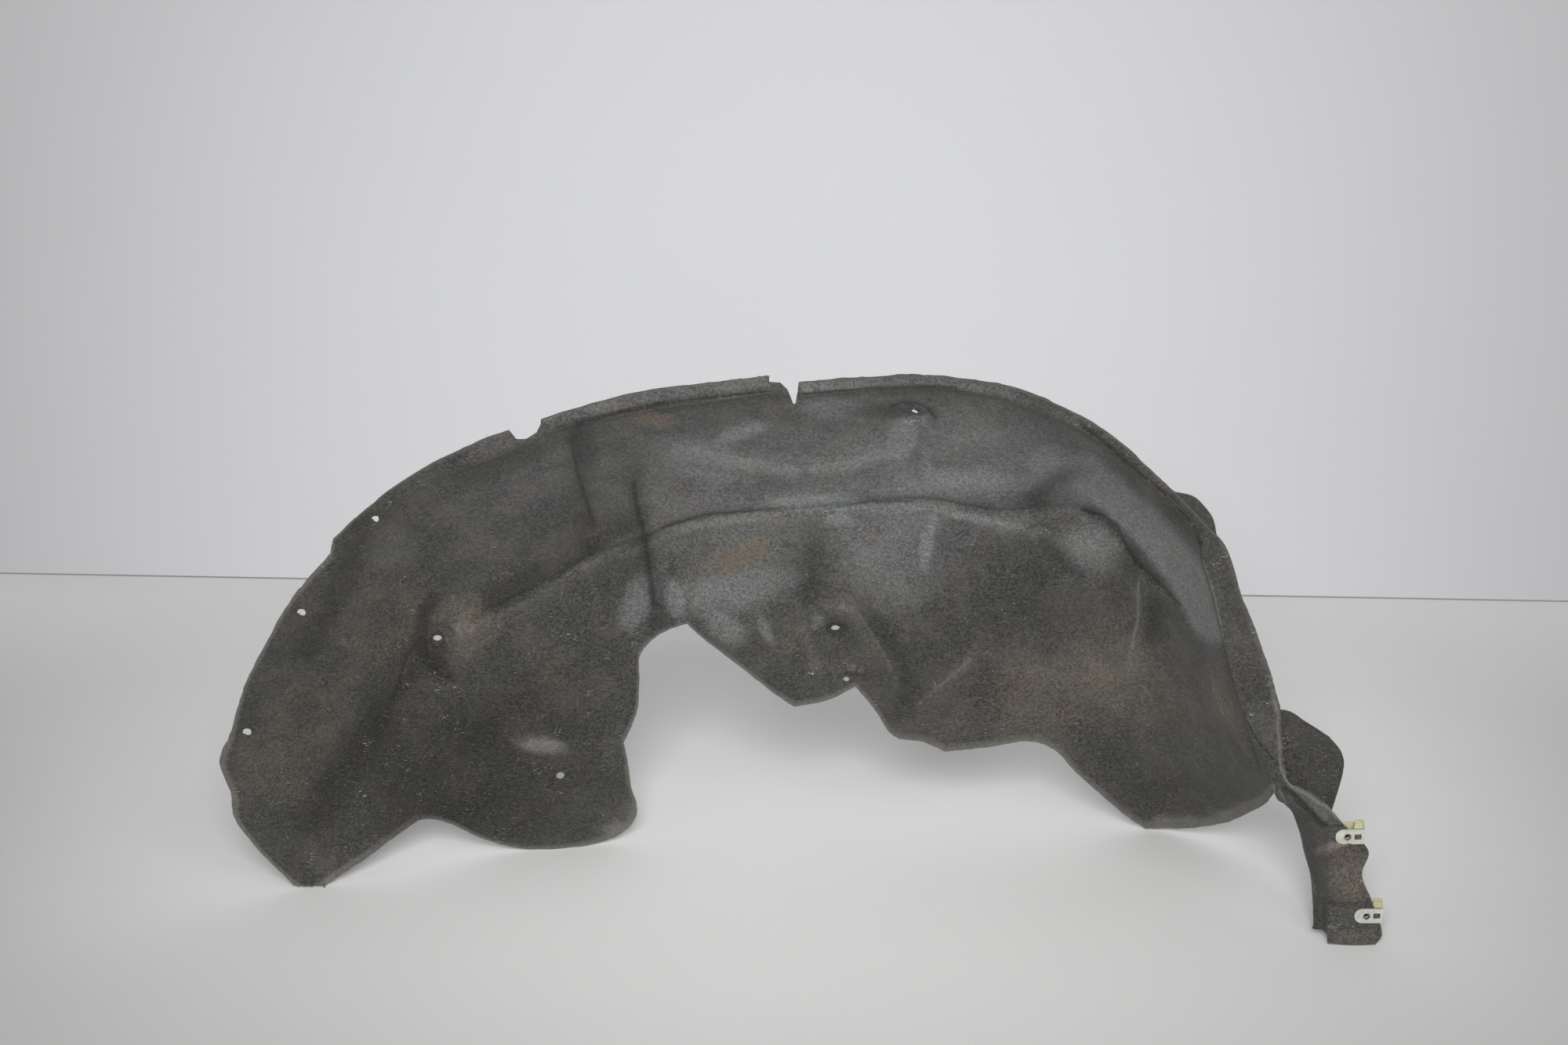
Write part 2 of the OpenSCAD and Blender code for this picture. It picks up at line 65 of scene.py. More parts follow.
# Stations along the arch: outer edge, lip line, break line, lower edge, lip fold, crease
STATIONS = np.array([
    [-444, 112, 5, -440, 114, 3, -429, 116, 2, -420, 119, 0, 0, 0],
    [-470, 107, 36, -461, 109, 32, -439, 122, 24, -401, 125, 12, 0, 0.1],
    [-491, 100, 74, -482, 102, 69, -435, 130, 49, -380, 135, 23, 0, 0.15],
    [-492, 95, 101, -483, 97, 97, -427, 138, 70, -354, 147, 40, 0, 0.15],
    [-498, 88, 134, -488, 90, 130, -412, 146, 92, -333, 162, 49, 0, 0.15],
    [-486, 84, 161, -478, 86, 157, -398, 151, 109, -309, 176, 39, 0, 0.15],
    [-470, 78, 205, -462, 80, 200, -383, 155, 128, -267, 193, 9, 0, 0.15],
    [-450, 72, 242, -442, 74, 237, -368, 157, 154, -221, 203, 0, 0, 0.15],
    [-426, 66, 283, -419, 68, 276, -347, 157, 186, -173, 213, 3, 0, 0.1],
    [-404, 61, 310, -398, 63, 303, -329, 155, 213, -146, 218, 18, 0, 0.1],
    [-384, 57, 332, -378, 59, 325, -310, 152, 234, -140, 218, 37, 0, 0.1],
    [-380, 54, 347, -373, 56, 338, -302, 152, 240, -145, 216, 59, 0, 0.2],
    [-342, 47, 381, -336, 49, 373, -275, 155, 248, -148, 214, 86, 0, 0.7],
    [-301, 41, 409, -296, 43, 400, -247, 160, 261, -151, 212, 104, 0.3, 1],
    [-251, 34, 436, -248, 36, 419, -216, 162, 277, -138, 209, 135, 1, 1],
    [-214, 30, 449, -212, 32, 436, -196, 163, 288, -135, 206, 169, 1, 1],
    [-179, 27, 462, -177, 29, 450, -174, 164, 300, -133, 203, 196, 1, 1],
    [-131, 24, 476, -128, 26, 461, -126, 165, 317, -115, 200, 215, 1, 1],
    [-95, 22, 483, -96, 24, 467, -97, 162, 331, -89, 198, 226, 1, 1],
    [-67, 20, 487, -67, 22, 472, -66, 158, 340, -72, 203, 208, 1, 1],
    [-38, 19, 490, -38, 21, 476, -35, 156, 343, -44, 211, 183, 1, 1],
    [-14, 18, 494, -14, 20, 480, -10, 154, 345, -11, 220, 152, 0.9, 0.8],
    [12, 17, 488, 12, 19, 478, 11, 152, 347, 10, 224, 136, 0.7, 0.6],
    [44, 16, 491, 44, 18, 481, 42, 150, 350, 42, 222, 144, 0.9, 0.8],
    [74, 15, 493, 74, 17, 484, 73, 150, 354, 67, 218, 158, 0.9, 0.9],
    [106, 14, 495, 106, 16, 486, 104, 150, 356, 87, 224, 131, 0.8, 1],
    [133, 13, 493, 132, 15, 485, 132, 150, 356, 104, 230, 104, 0.8, 1],
    [161, 12, 490, 160, 14, 481, 163, 153, 349, 131, 232, 98, 0.8, 1],
    [189, 10, 484, 186, 12, 474, 188, 156, 344, 153, 234, 87, 0.8, 1],
    [223, 8, 471, 219, 10, 462, 217, 154, 346, 191, 234, 91, 0.8, 0.6],
    [255, 6, 454, 250, 8, 446, 244, 150, 351, 232, 235, 97, 0.8, 0.4],
    [279, 5, 435, 273, 7, 428, 269, 147, 347, 258, 237, 88, 0.8, 0.7],
    [302, 4, 414, 294, 6, 410, 288, 143, 335, 280, 240, 64, 0.8, 1],
    [325, 4, 393, 315, 6, 391, 303, 138, 317, 306, 243, 39, 0.9, 1],
    [345, 3, 372, 332, 5, 374, 318, 132, 298, 330, 246, 17, 1, 1],
    [362, 2, 353, 340, 4, 353, 331, 124, 287, 351, 247, 2, 1, 0.8],
    [377, 1, 311, 355, 3, 312, 348, 106, 266, 371, 241, 5, 1, 0.3],
    [390, 0, 283, 362, 2, 282, 360, 88, 236, 393, 222, 14, 1, 0],
    [403, 0, 250, 372, 2, 248, 371, 70, 205, 415, 195, 30, 1, 0],
    [413, 0, 218, 381, 2, 219, 383, 52, 180, 426, 152, 58, 0.8, 0],
    [417, 0, 184, 394, 2, 187, 396, 32, 159, 427, 92, 92, 0.6, 0],
    [422, 0, 156, 411, 2, 160, 413, 8, 149, 416, 12, 140, 0.3, 0],
], float)


def lines(*rows):
    """Rows of two sizes and the places of a line's points, taken apart into the sizes and the line."""
    return [(row[0], row[1], [*zip(row[2::2], row[3::2])]) for row in rows]


OUTER_CORNERS = [10, 11, 21, 22, 38]
LOWER_CORNERS = [13, 18, 22, 24, 28, 35]
LAST_U = len(STATIONS) - 1

MOULDED = lines(
    (-RIB_H, 13, -83, 416, -44, 400, 7, 388, 40, 395, 72, 399), (GROOVE_D / 2, 9, -177, 445, -174, 305),
    (GROOVE_D * 0.8, 9, -128, 390, -126, 317, -116, 225), (GROOVE_D / 2, 8, 120, 402, 122, 380),
    (-RIB_H / 2, 9, 132, 323, 127, 278), (-RIB_H / 2, 9, 183, 333, 210, 326, 242, 316),
    (GROOVE_D / 2, 12, 222, 355, 253, 398), (-SWELL_H, 22, 277, 309),
    (-RIB_H, 9, 321, 277, 322, 249, 320, 215, 317, 183), (GROOVE_D / 2, 10, 333, 266, 334, 229),
    (-RIB_H * 0.8, 13, 23, 241, 62, 241), (-RIB_H, 9, 62, 242, 77, 213, 99, 186),
    (-RIB_H * 0.8, 9, 11, 242, 23, 202, 30, 176), (-RIB_H, 9, 118, 115, 152, 153, 177, 191),
    (VALLEY_D, 16, -334, 202, -361, 158, -386, 119, -412, 93, -430, 62), (-SWELL_H * 0.8, 16, -283, 236),
    (-RIB_H * 0.8, 14, -246, 119, -203, 97), (-SWELL_H / 2, 45, -44, 297),
)
SEAT_ROWS = [
    (11.83, 0.01, EDGE_HOLE_R, EDGE_SEAT_R, 0, 1), (8.13, 0.03, EDGE_HOLE_R, EDGE_SEAT_R, 0, 1),
    (5.18, 0.04, EDGE_HOLE_R, EDGE_SEAT_R, 0, 1), (9.61, 1.017, SEAT_HOLE_R, SEAT_R, SEAT_D, 1.2),
    (8.71, 1.679, SEAT_HOLE_R, SEAT_R, 0, 1), (23.17, 1.639, SEAT_HOLE_R, SEAT_R, SEAT_D / 2, 2),
    (25.14, 0.234, SEAT_HOLE_R, SEAT_R, SEAT_D / 2, 1.8),
]
SEAT_BLEND = 1.9
DRAINS = [(23.5, 1.93), (22.6, 1.84)]
# Holes worn open towards the viewer: number of the seat or drain, radius, width over height
WORN = [(0, 2.4, 1), (1, 3, 1), (2, 3.2, 1), (6, 1, 3), (7, 2.1, 1.3)]
# Their cutters, along the view: distance behind the face, half length, slant of the wide ones
WORN_BACK, WORN_REACH, WORN_SLANT = 6, 20, 0.4
# Felt pressed thin around the slanted holes: number of the first, felt left, half depth, width past the hole
THIN_FROM, THIN_LEFT, THIN_REACH, THIN_PAST = 5, 1, 6, 2.5
TAIL = [
    [(424, 1, 151), (421, 1, 147), (419, 1, 143), (417, 5, 139), (416, 10, 135)],
    [(441, 12, 139), (437, 7, 133), (434, 2, 127), (431, 14, 122), (429, 27, 119)],
    [(460, 12, 126), (456, 6, 120), (451, 1, 114), (445, 20, 108), (440, 42, 105)],
    [(476, 0, 108.5), (469, 0, 111), (459, 0, 109), (452, 17, 94), (446, 34, 88)],
    [(496, 0, 88), (478, 0, 90), (461, 0, 90), (456, 17, 76), (450, 33, 72)],
    [(492, 0, 66), (478, 0, 66), (463, 0, 66), (460, 15, 56), (456, 30, 52)],
    [(502, 0, 42), (481, 0, 42), (464, 0, 40), (462, 12, 33), (458, 24, 30)],
    [(513, 0, 13), (488, 0, 15), (466, 0, 16), (464, 8, 14), (458, 17, 13)],
    [(508, 0, 1), (490, 0, 0), (467, 0, 2), (466, 5, 9.5), (457, 16, 10.5)],
]
FLAP_ROOT = [(39, 0.75), (39.5, 1), (40, 1.2), (40.2, 1.3)]
FLAP = [
    [(425, 44, 199), (448, 45, 187), (468, 45, 174)],
    [(428, 44, 178), (455, 45, 168), (479, 45, 160)],
    [(431, 42, 150), (458, 44, 143), (481, 44, 142)],
    [(437, 41, 114), (456, 40, 100), (471, 40, 101)],
]
EAR_STATIONS = [32.7, 33.1, 33.5, 33.9, 34.3]
EAR = [(319, 8, 400), (334, 9, 396), (344, 9, 387), (351, 8, 377), (354, 5, 364)]
SLIT = [(-12, 520), (-12, 488.5), (-3, 488), (3, 482), (7.5, 466), (9.5, 466), (12, 490), (12, 520)]
NOTCH = [(-228, 480), (-226, 446), (-220, 438), (-212, 438), (-203, 444), (-199, 452), (-198, 480)]


def hermite(rows, at, corners=()):
    """A smooth curve through the rows, which stops and turns at the corners."""
    rows = np.asarray(rows, float)
    slopes = np.empty_like(rows)
    slopes[1:-1] = (rows[2:] - rows[:-2]) / 2
    slopes[0], slopes[-1] = rows[1] - rows[0], rows[-1] - rows[-2]
    slopes[np.array(corners, int)] = 0
    at = np.asarray(at, float)
    i = np.clip(np.floor(at).astype(int), 0, len(rows) - 2)
    f = (at - i).reshape(at.shape + (1,) * (rows.ndim - 1))
    return ((2 * f**3 - 3 * f**2 + 1) * rows[i] + (f**3 - 2 * f**2 + f) * slopes[i]
            + (3 * f**2 - 2 * f**3) * rows[i + 1] + (f**3 - f**2) * slopes[i + 1])


def smooth(f):
    g = np.clip(f, 0, 1)
    return g * g * (3 - 2 * g)


def wave(x, seed, wavelength):
    """Smooth one-dimensional noise between about -1 and 1."""
    t = np.asarray(x, float) / wavelength
    knots = np.random.default_rng(seed).uniform(-1, 1, 4096)
    i = np.floor(t).astype(int)
    return knots[i % 4096] + (knots[(i + 1) % 4096] - knots[i % 4096]) * smooth(t - i)


def stations(u):
    u = np.atleast_1d(np.asarray(u, float))
    a = hermite(np.hstack([STATIONS[:, 0:6], STATIONS[:, 12:14]]), u, OUTER_CORNERS)
    b = hermite(STATIONS[:, 6:12], u, LOWER_CORNERS)
    return {"P": a[:, 0:3], "C": a[:, 3:6], "M": b[:, 0:3], "Q": b[:, 3:6], "lip": a[:, 6], "crease": a[:, 7]}


def span(a, b):
    return np.hypot(b[:, 0] - a[:, 0], b[:, 2] - a[:, 2])


def dome(s, v):
    """The plain dome at stations s and places v, which are arrays of one length."""
    roof_len, v1 = span(s["C"], s["M"]), v[:, None]
    fold_w = np.minimum(LIP_FOLD, roof_len / 4)
    fold = s["lip"] * LIP_STEP * smooth(v * roof_len / fold_w)
    lip = s["P"] + (s["C"] - s["P"]) * (1 + v1)
    roof = s["C"] + (s["M"] - s["C"]) * v1
    roof[:, 1] = s["C"][:, 1] + (s["M"][:, 1] - s["C"][:, 1]) * (v + np.sin(v * math.pi / 2)) / 2 + fold * (1 - v)
    wall = s["M"] + (s["Q"] - s["M"]) * (v1 - 1)
    wall[:, 1] = s["M"][:, 1] + (s["Q"][:, 1] - s["M"][:, 1]) * (0.6 * (v - 1) + 0.4 * np.sin((v - 1) * math.pi / 2))
    return np.where(v1 < 0, lip, np.where(v1 <= 1, roof, wall))


def crease(s, v):
    roof_len, wall_len = span(s["C"], s["M"]), span(s["M"], s["Q"])
    d = np.where(v < 1, (v - 1) * roof_len, (v - 1) * wall_len)
    room = smooth(wall_len / (6 * CREASE_W))
    return s["crease"] * room * (CREASE_D * np.exp(-(d / CREASE_W)**2)
                                 - LEDGE_H * np.exp(-((d - 2 * CREASE_W) / (1.2 * CREASE_W))**2))


def to_line(x, z, line):
    if len(line) == 1:
        return np.hypot(x - line[0][0], z - line[0][1])
    best = np.full(len(x), 1e9)
    for (ax, az), (bx, bz) in zip(line, line[1:]):
        dx, dz = bx - ax, bz - az
        f = np.clip(((x - ax) * dx + (z - az) * dz) / (dx * dx + dz * dz), 0, 1)
        best = np.minimum(best, np.hypot(x - ax - f * dx, z - az - f * dz))
    return best


def pressed(x, y, table):
    """How deep the lines of a table, each with a depth and a half width, press the felt in at x and y."""
    return sum(depth * np.exp(-(to_line(x, y, line) / half)**2) for depth, half, line in table)


# Finer moulded lines, in the photograph's pixels: depth in mm, half width, line
FINE = lines(
    (2.2, 7, 566, 762, 549, 778, 539, 797, 538, 818, 546, 840, 560, 858),
    (1.2, 5, 536, 850, 510, 880, 487, 905, 462, 945), (1.6, 15, 462, 665, 449, 715, 420, 785, 392, 832),
    (-1.2, 24, 500, 690, 480, 760, 445, 850), (-2, 14, 575, 770, 602, 800, 600, 840), (1.2, 5, 592, 817),
    (2.4, 6, 735, 545, 731, 575, 737, 610, 748, 640, 757, 670),
    (1.4, 4.5, 806, 612, 811, 645, 821, 678, 824, 705, 831, 742, 834, 772),
    (-1.2, 7, 824, 618, 832, 655, 838, 690, 845, 735, 850, 775), (-1.2, 9, 645, 777, 700, 740, 760, 707, 815, 684),
    (1.2, 12, 620, 770, 690, 728, 760, 690, 808, 672), (-0.9, 6, 850, 682, 900, 669, 960, 661, 1025, 664),
    (-1.3, 8, 1200, 655, 1270, 668, 1335, 684), (1, 9, 1036, 665, 1034, 700, 1026, 770),
    (-1.6, 15, 470, 940, 425, 1005, 395, 1042), (-1.8, 12, 810, 615, 822, 690, 834, 770),
    (0.8, 10, 1025, 776, 1082, 776), (-1.2, 7, 1026, 780, 1030, 815, 1042, 850),
    (1, 7, 1090, 785, 1110, 815, 1130, 850), (1.8, 12, 1097, 765, 1122, 803, 1155, 850),
    (1, 10, 1020, 790, 1018, 830), (-1.6, 8, 967, 785, 984, 822), (-1.6, 8, 1187, 668, 1183, 695, 1178, 725),
    (1.6, 7, 1190, 662), (-1.5, 5, 1244, 832, 1215, 858, 1180, 896), (1, 12, 1168, 900, 1225, 870),
    (1.6, 10, 1366, 600, 1335, 622, 1300, 645), (1.8, 9, 1330, 690, 1352, 715, 1378, 738), (0.3, 20, 1402, 690),
    (-2, 6, 1453, 740, 1456, 770, 1453, 806, 1443, 838, 1430, 864), (2.2, 8, 1464, 745, 1467, 780, 1460, 822),
    (2, 40, 1315, 745), (2.4, 7, 1130, 530, 1160, 518, 1190, 532), (-1.6, 17, 1148, 558),
    (1.2, 5, 1171, 582, 1171, 610), (-1, 5, 1180, 575, 1182, 610), (1.2, 5, 1584, 905, 1600, 940, 1630, 976),
    (1.5, 5, 1548, 770, 1556, 800, 1566, 850, 1580, 900, 1592, 935, 1608, 985),
    (-1, 20, 560, 640, 600, 700, 590, 740), (-1.2, 40, 700, 1040), (1, 20, 590, 930, 650, 900, 700, 900),
    (1.2, 22, 1250, 780, 1330, 775, 1400, 800), (-1, 25, 1430, 900, 1500, 930, 1560, 930),
    (-0.8, 18, 860, 590, 850, 640),
)


def ring(cx, cy, rx, ry):
    return [v for a in np.linspace(0, 2 * math.pi, 17) for v in (cx + rx * math.cos(a), cy + ry * math.sin(a))]


# Sharp creases, and raised cut edges with a share below 0, in pixels: half width, share of the depth, line
SHARP = lines(
    (3, 1.2, 737, 541, 790, 526, 846, 515), (1.7, 1, 846, 515, 900, 508, 981, 499),
    (1.5, 0.9, 1024, 503, 1106, 496, 1175, 493, 1220, 495), (2, 0.8, 728, 560, 737, 605, 749, 642, 757, 669),
    (2.2, 0.7, 807, 616, 812, 646, 821, 676, 831, 742, 833, 770),
    (1.7, 0.9, 541, 790, 534, 815, 519, 836, 503, 885, 487, 906),
    (1.6, 1, 1136, 518, 1151, 513, 1169, 514, 1184, 521, 1193, 533),
    (1.5, 1, 1379, 650, 1408, 657, 1426, 672, 1436, 694, 1449, 717, 1469, 732, 1505, 771),
    (1.4, 1, 1584, 905, 1600, 940, 1630, 976), (1.4, 0.5, 1456, 742, 1458, 782, 1452, 812),
    (2.2, 1.6, 1377, 540, 1410, 565, 1454, 604, 1495, 637, 1520, 665, 1531, 694),
    (1.4, 0.9, 1531, 694, 1533, 719, 1546, 760, 1556, 800, 1567, 852, 1592, 935, 1608, 985),
    (1.4, 0.5, 845, 673, 900, 657, 1000, 647), (1.4, 0.5, 1050, 650, 1110, 640, 1165, 639),
    (1.3, 0.45, 573, 787, 590, 782, 611, 787), (1.2, 0.35, 576, 794, 595, 790, 612, 796),
    (1.5, 0.8, *ring(558, 817, 8.5, 9)), (1.4, 0.8, *ring(1066, 802, 11, 7)), (2.2, 0.8, 1078, 858, 1103, 861),
    (1.6, -0.8, 1622, 862, 1628, 905, 1632, 950, 1633, 978), (1.4, -0.5, 1052, 774, 1078, 774),
    (1.5, -0.5, 1094, 781, 1116, 815, 1137, 852), (1.8, -0.5, 1170, 898, 1205, 870, 1238, 842),
    (1.5, -0.5, 1452, 742, 1451, 790, 1440, 840),
)
SHARP_DEPTH, SPLIT_REACH, SHORT_EDGE = 1.1, (5.5, 3.0), 1.3


# Creases and swells of the tail, as in the list of finer moulded lines
CREVICE = [1638, 1006, 1650, 1014, 1661, 1026, 1674, 1038, 1684, 1049, 1691, 1054]
STRAP_EDGE = [1634, 980, 1641, 995, 1650, 1004, 1669, 1014, 1680, 1023, 1696, 1031, 1705, 1042, 1715, 1048]
TAIL_LINES = lines(
    (4.5, 4, *CREVICE), (-2.5, 6, 1650, 1008, 1672, 1022, 1690, 1038), (1.5, 2.5, 1691, 1054, 1702, 1054, 1715, 1053),
    (1.5, 3, 1688, 1062, 1689, 1095, 1692, 1170), (-2.5, 14, 1720, 1085, 1722, 1145),
    (2.2, 3, 1696, 1153, 1750, 1153), (-1.5, 9, 1695, 1080), (1.2, 2.5, 1702, 1186, 1763, 1186),
    (-1.2, 7, 1710, 1196, 1755, 1196),
)


def dome_one(u, v):
    return dome(stations(u), np.array([float(v)]))[0]


def dome_normal(u, v, nudge=0.02):
    n = np.cross(dome_one(u, v + nudge) - dome_one(u, v - nudge), dome_one(u + nudge, v) - dome_one(u - nudge, v))
    return n / np.linalg.norm(n) * np.sign(n[1])


def seat(row):
    u, v, hole_r, flat_r, recess, lean = row
    n = dome_normal(u, v) * [lean, 1, lean]
    return dome_one(u, v) + [0, recess, 0], n / np.linalg.norm(n), flat_r, hole_r


SEATS = [seat(row) for row in SEAT_ROWS]


def seated(p):
    for c, n, flat_r, _ in SEATS:
        on_plane = c[1] - (n[0] * (p[:, 0] - c[0]) + n[2] * (p[:, 2] - c[2])) / n[1]
        away = np.sqrt((p[:, 0] - c[0])**2 + (on_plane - c[1])**2 + (p[:, 2] - c[2])**2)
        share = 1 - smooth((away - flat_r) / (flat_r * (SEAT_BLEND - 1)))
        p[:, 1] += (on_plane - p[:, 1]) * share
    return p


# Fine lines: fade beside the lip, half width along the break, depth along the lip
FINE_FADE, BREAK_HALF, LIP_LINE_D = 6, 1.1, 1.3


def face(u, v, fine=1.0):
    """The wheel side of the felt, and how far its moulded lines sink there."""
    u, v = np.atleast_1d(np.asarray(u, float)), np.atleast_1d(np.asarray(v, float))
    s = stations(u)
    p = dome(s, v)
    from_lip = v * span(s["C"], s["M"])
    from_break = np.where(v < 1, (1 - v) * span(s["C"], s["M"]), (v - 1) * span(s["M"], s["Q"]))
    sunk = pressed(p[:, 0], p[:, 2], MOULDED) + crease(s, v)
    sunk = np.where(v < 0, 0, sunk * smooth(from_lip / LIP_FADE))
    detail = np.where(v < 0, 0, pressed(*to_pixels(p), FINE) * smooth(from_lip / FINE_FADE))
    detail += s["crease"] * np.exp(-(from_break / BREAK_HALF)**2)
    detail += LIP_LINE_D * s["lip"] * np.exp(-np.where(v < 0, -v * span(s["P"], s["C"]), from_lip)**2)
    sunk = sunk + detail * fine
    p[:, 1] += sunk
    p = seated(p)
    p[:, 2] = np.maximum(p[:, 2], 0)
    return p, sunk


def to_pixels(p):
    """Where points of the drawing frame lie in the photograph's frame of 2000 x 1333."""
    y, z = p[:, 1] + CAM_D, p[:, 2] - CAM_H
    deep = y * math.cos(CAM_PITCH) - z * math.sin(CAM_PITCH)
    up = y * math.sin(CAM_PITCH) + z * math.cos(CAM_PITCH)
    return WIDE / 2 + FOCAL_PX * p[:, 0] / deep, HIGH / 2 - FOCAL_PX * up / deep


def new_mesh(name, verts, faces):
    mesh = bpy.data.meshes.new(name)
    mesh.from_pydata([tuple(v) for v in verts], [], faces)
    mesh.validate()
    obj = bpy.data.objects.new(name, mesh)
    bpy.context.scene.collection.objects.link(obj)
    return obj


def filled(name, bm):
    obj = new_mesh(name, [], [])
    bm.to_mesh(obj.data)
    bm.free()
    return obj


def grid_normals(g):
    i = np.arange(g.shape[0])
    j = np.arange(g.shape[1])
    along = g[np.minimum(i + 1, i[-1])] - g[np.maximum(i - 1, 0)]
    across = g[:, np.minimum(j + 1, j[-1])] - g[:, np.maximum(j - 1, 0)]
    n = np.cross(along, across)
    return n / np.linalg.norm(n, axis=2, keepdims=True)


def sheet(name, g, thick=FELT_T):
    """A closed sheet with the grid g as its wheel side."""
    ni, nj = g.shape[:2]
    back = g + grid_normals(g) * thick
    back[:, :, 2] = np.maximum(back[:, :, 2], 0)
    half = ni * nj
    ids = np.arange(half).reshape(ni, nj)
    a, b, c, d = ids[:-1, :-1].ravel(), ids[1:, :-1].ravel(), ids[1:, 1:].ravel(), ids[:-1, 1:].ravel()
    front_faces = np.stack([a, d, c, b], 1)
    back_faces = np.stack([a, b, c, d], 1) + half
    rim = np.concatenate([ids[:, 0], ids[-1, 1:], ids[-2::-1, -1], ids[0, -2:0:-1]])
    nxt = np.roll(rim, -1)
    side_faces = np.stack([rim, nxt, nxt + half, rim + half], 1)
    faces = np.concatenate([front_faces, back_faces, side_faces]).tolist()
    verts = (np.concatenate([g.reshape(-1, 3), back.reshape(-1, 3)]) - MID) * MM
    return new_mesh(name, verts, faces), g[tuple(np.unravel_index(rim, (ni, nj)))]


def sharpness(p, sign=1):
    x, y = to_pixels(p)
    return np.max([abs(depth) * np.exp(-(to_line(x, y, line) / half)**2) for half, depth, line in SHARP
                   if depth * sign > 0], axis=0)


def press_creases(obj, count):
    """Split the wheel side's faces beside the sharp creases, and press the creases in."""
    bm = bmesh.new()
    bm.from_mesh(obj.data)
    for level in range(3):
        bm.verts.index_update()
        p = np.array([v.co for v in bm.verts]) / MM + MID
        front = np.arange(len(p)) < count
        front[2 * count:] = True
        if level == 2:
            break
        x, y = to_pixels(p)
        near = front & (np.min([to_line(x, y, line) - half for half, _, line in SHARP], axis=0)
                        < SPLIT_REACH[level])
        edges = [e for e in bm.edges if near[e.verts[0].index] and near[e.verts[1].index]
                 and e.calc_length() > SHORT_EDGE * MM]
        bmesh.ops.subdivide_edges(bm, edges=edges, cuts=1, use_grid_fill=True)
    for v, depth in zip(bm.verts, SHARP_DEPTH * (sharpness(p) - sharpness(p, -1)) * front):
        v.co.y += depth * MM
    bmesh.ops.triangulate(bm, faces=[f for f in bm.faces if len(f.verts) > 4])
    bm.to_mesh(obj.data)
    bm.free()


def boolean(obj, other, operation):
    modifier = obj.modifiers.new(operation, "BOOLEAN")
    modifier.operation, modifier.object, modifier.solver = operation, other, "MANIFOLD"
    bpy.context.view_layer.objects.active = obj
    bpy.ops.object.modifier_apply(modifier=modifier.name)
    bpy.data.objects.remove(other)


def joined(objects):
    bm = bmesh.new()
    for obj in objects:
        bm.from_mesh(obj.data)
        bpy.data.objects.remove(obj)
    return filled("joined", bm)


def cutter_cylinder(centre, normal, radius, reach=10.0, segments=40):
    bm = bmesh.new()
    bmesh.ops.create_cone(bm, cap_ends=True, segments=segments, radius1=radius * MM, radius2=radius * MM,
                          depth=2 * reach * MM)
    obj = filled("cutter", bm)
    turn = Vector(normal).to_track_quat("Z", "Y").to_matrix().to_4x4()
    obj.data.transform(Matrix.Translation(Vector((np.asarray(centre) - MID) * MM)) @ turn)
    return obj


def cutter_prism(shape, y0, y1):
    n = len(shape)
    verts = [((np.array([x, y, z]) - MID) * MM) for y in (y0, y1) for x, z in shape]
    faces = [list(range(n)), list(range(2 * n - 1, n - 1, -1))]
    faces += [[k, k + n, (k + 1) % n + n, (k + 1) % n] for k in range(n)]
    obj = new_mesh("cutter", verts, faces)
    bm = bmesh.new()
    bm.from_mesh(obj.data)
    bmesh.ops.recalc_face_normals(bm, faces=bm.faces)
    bm.to_mesh(obj.data)
    bm.free()
    return obj


# The moulded sheet, on a fine grid
COLUMN_STEP, ROOF_ROWS, WALL_ROWS = 4.15, 24, 26
NEAR_LINE = np.array([0.7, 1.4, 2.4, 4.0, 6.0])
LIP_ROWS = [-1, -0.8, -0.6, -0.4, -0.22, -0.1, -0.04, 0]


def columns(step=COLUMN_STEP):
    out = []
    for i in range(LAST_U):
        ends = STATIONS[[i, i + 1]]
        length = max(np.linalg.norm(ends[1, k:k + 3] - ends[0, k:k + 3]) for k in (0, 6, 9))
        steps = int(np.clip(math.ceil(length / step), 3, 18))
        out += [i + k / steps for k in range(steps)]
    return np.array(out + [LAST_U])


def row_places(roof_len, wall_len):
    """Rows over the sheet, drawn close together beside the lip line and the break line."""
    top = NEAR_LINE / roof_len * min(1, roof_len / 60)
    above = 1 - top[::-1]
    below = 1 + np.append(NEAR_LINE, [8, 10, 12.5, 15.5]) / wall_len * min(1, wall_len / 60)
    return np.concatenate([
        LIP_ROWS, top[:4], np.linspace(top[4], above[0], ROOF_ROWS)[:-1], above,
        [1], below, np.linspace(below[-1], 2, WALL_ROWS)[1:]])


cols = columns()
col_stations = stations(cols)
roof_lens, wall_lens = span(col_stations["C"], col_stations["M"]), span(col_stations["M"], col_stations["Q"])
places = np.array([row_places(r, w) for r, w in zip(roof_lens, wall_lens)])
u_grid = np.repeat(cols[:, None], places.shape[1], axis=1)
flat_face, flat_sunk = face(u_grid.ravel(), places.ravel())
shell_grid = flat_face.reshape(*places.shape, 3)
sunk_grid = flat_sunk.reshape(places.shape)

# Pressed margin along the free edges: its width in mm at some stations
MARGIN_LOW = np.interp(cols, [0, 6, 8, 9.5, 12, 14, 22, 27, 30, 34, 36, 39, 41],
                       [8, 6, 7, 10, 6, 3, 3, 4, 5, 6, 12, 16, 8])
MARGIN_LIP = np.interp(cols, [0, 4, 6, 10, 12], [6, 6, 2, 4, 0])
to_low = (2 - places) * wall_lens[:, None]
to_low[places < 1] = 1e3
lip_lens = span(col_stations["P"], col_stations["C"])
to_top = (places + 1) * np.maximum(lip_lens, 1)[:, None]
to_top[places > 0] = (lip_lens[:, None] + places * roof_lens[:, None])[places > 0]
margin_grid = np.maximum(1 - smooth((to_low - MARGIN_LOW[:, None]) / 3 + 0.5),
                         (1 - smooth((to_top - MARGIN_LIP[:, None]) / 3 + 0.5)) * (MARGIN_LIP[:, None] > 0))

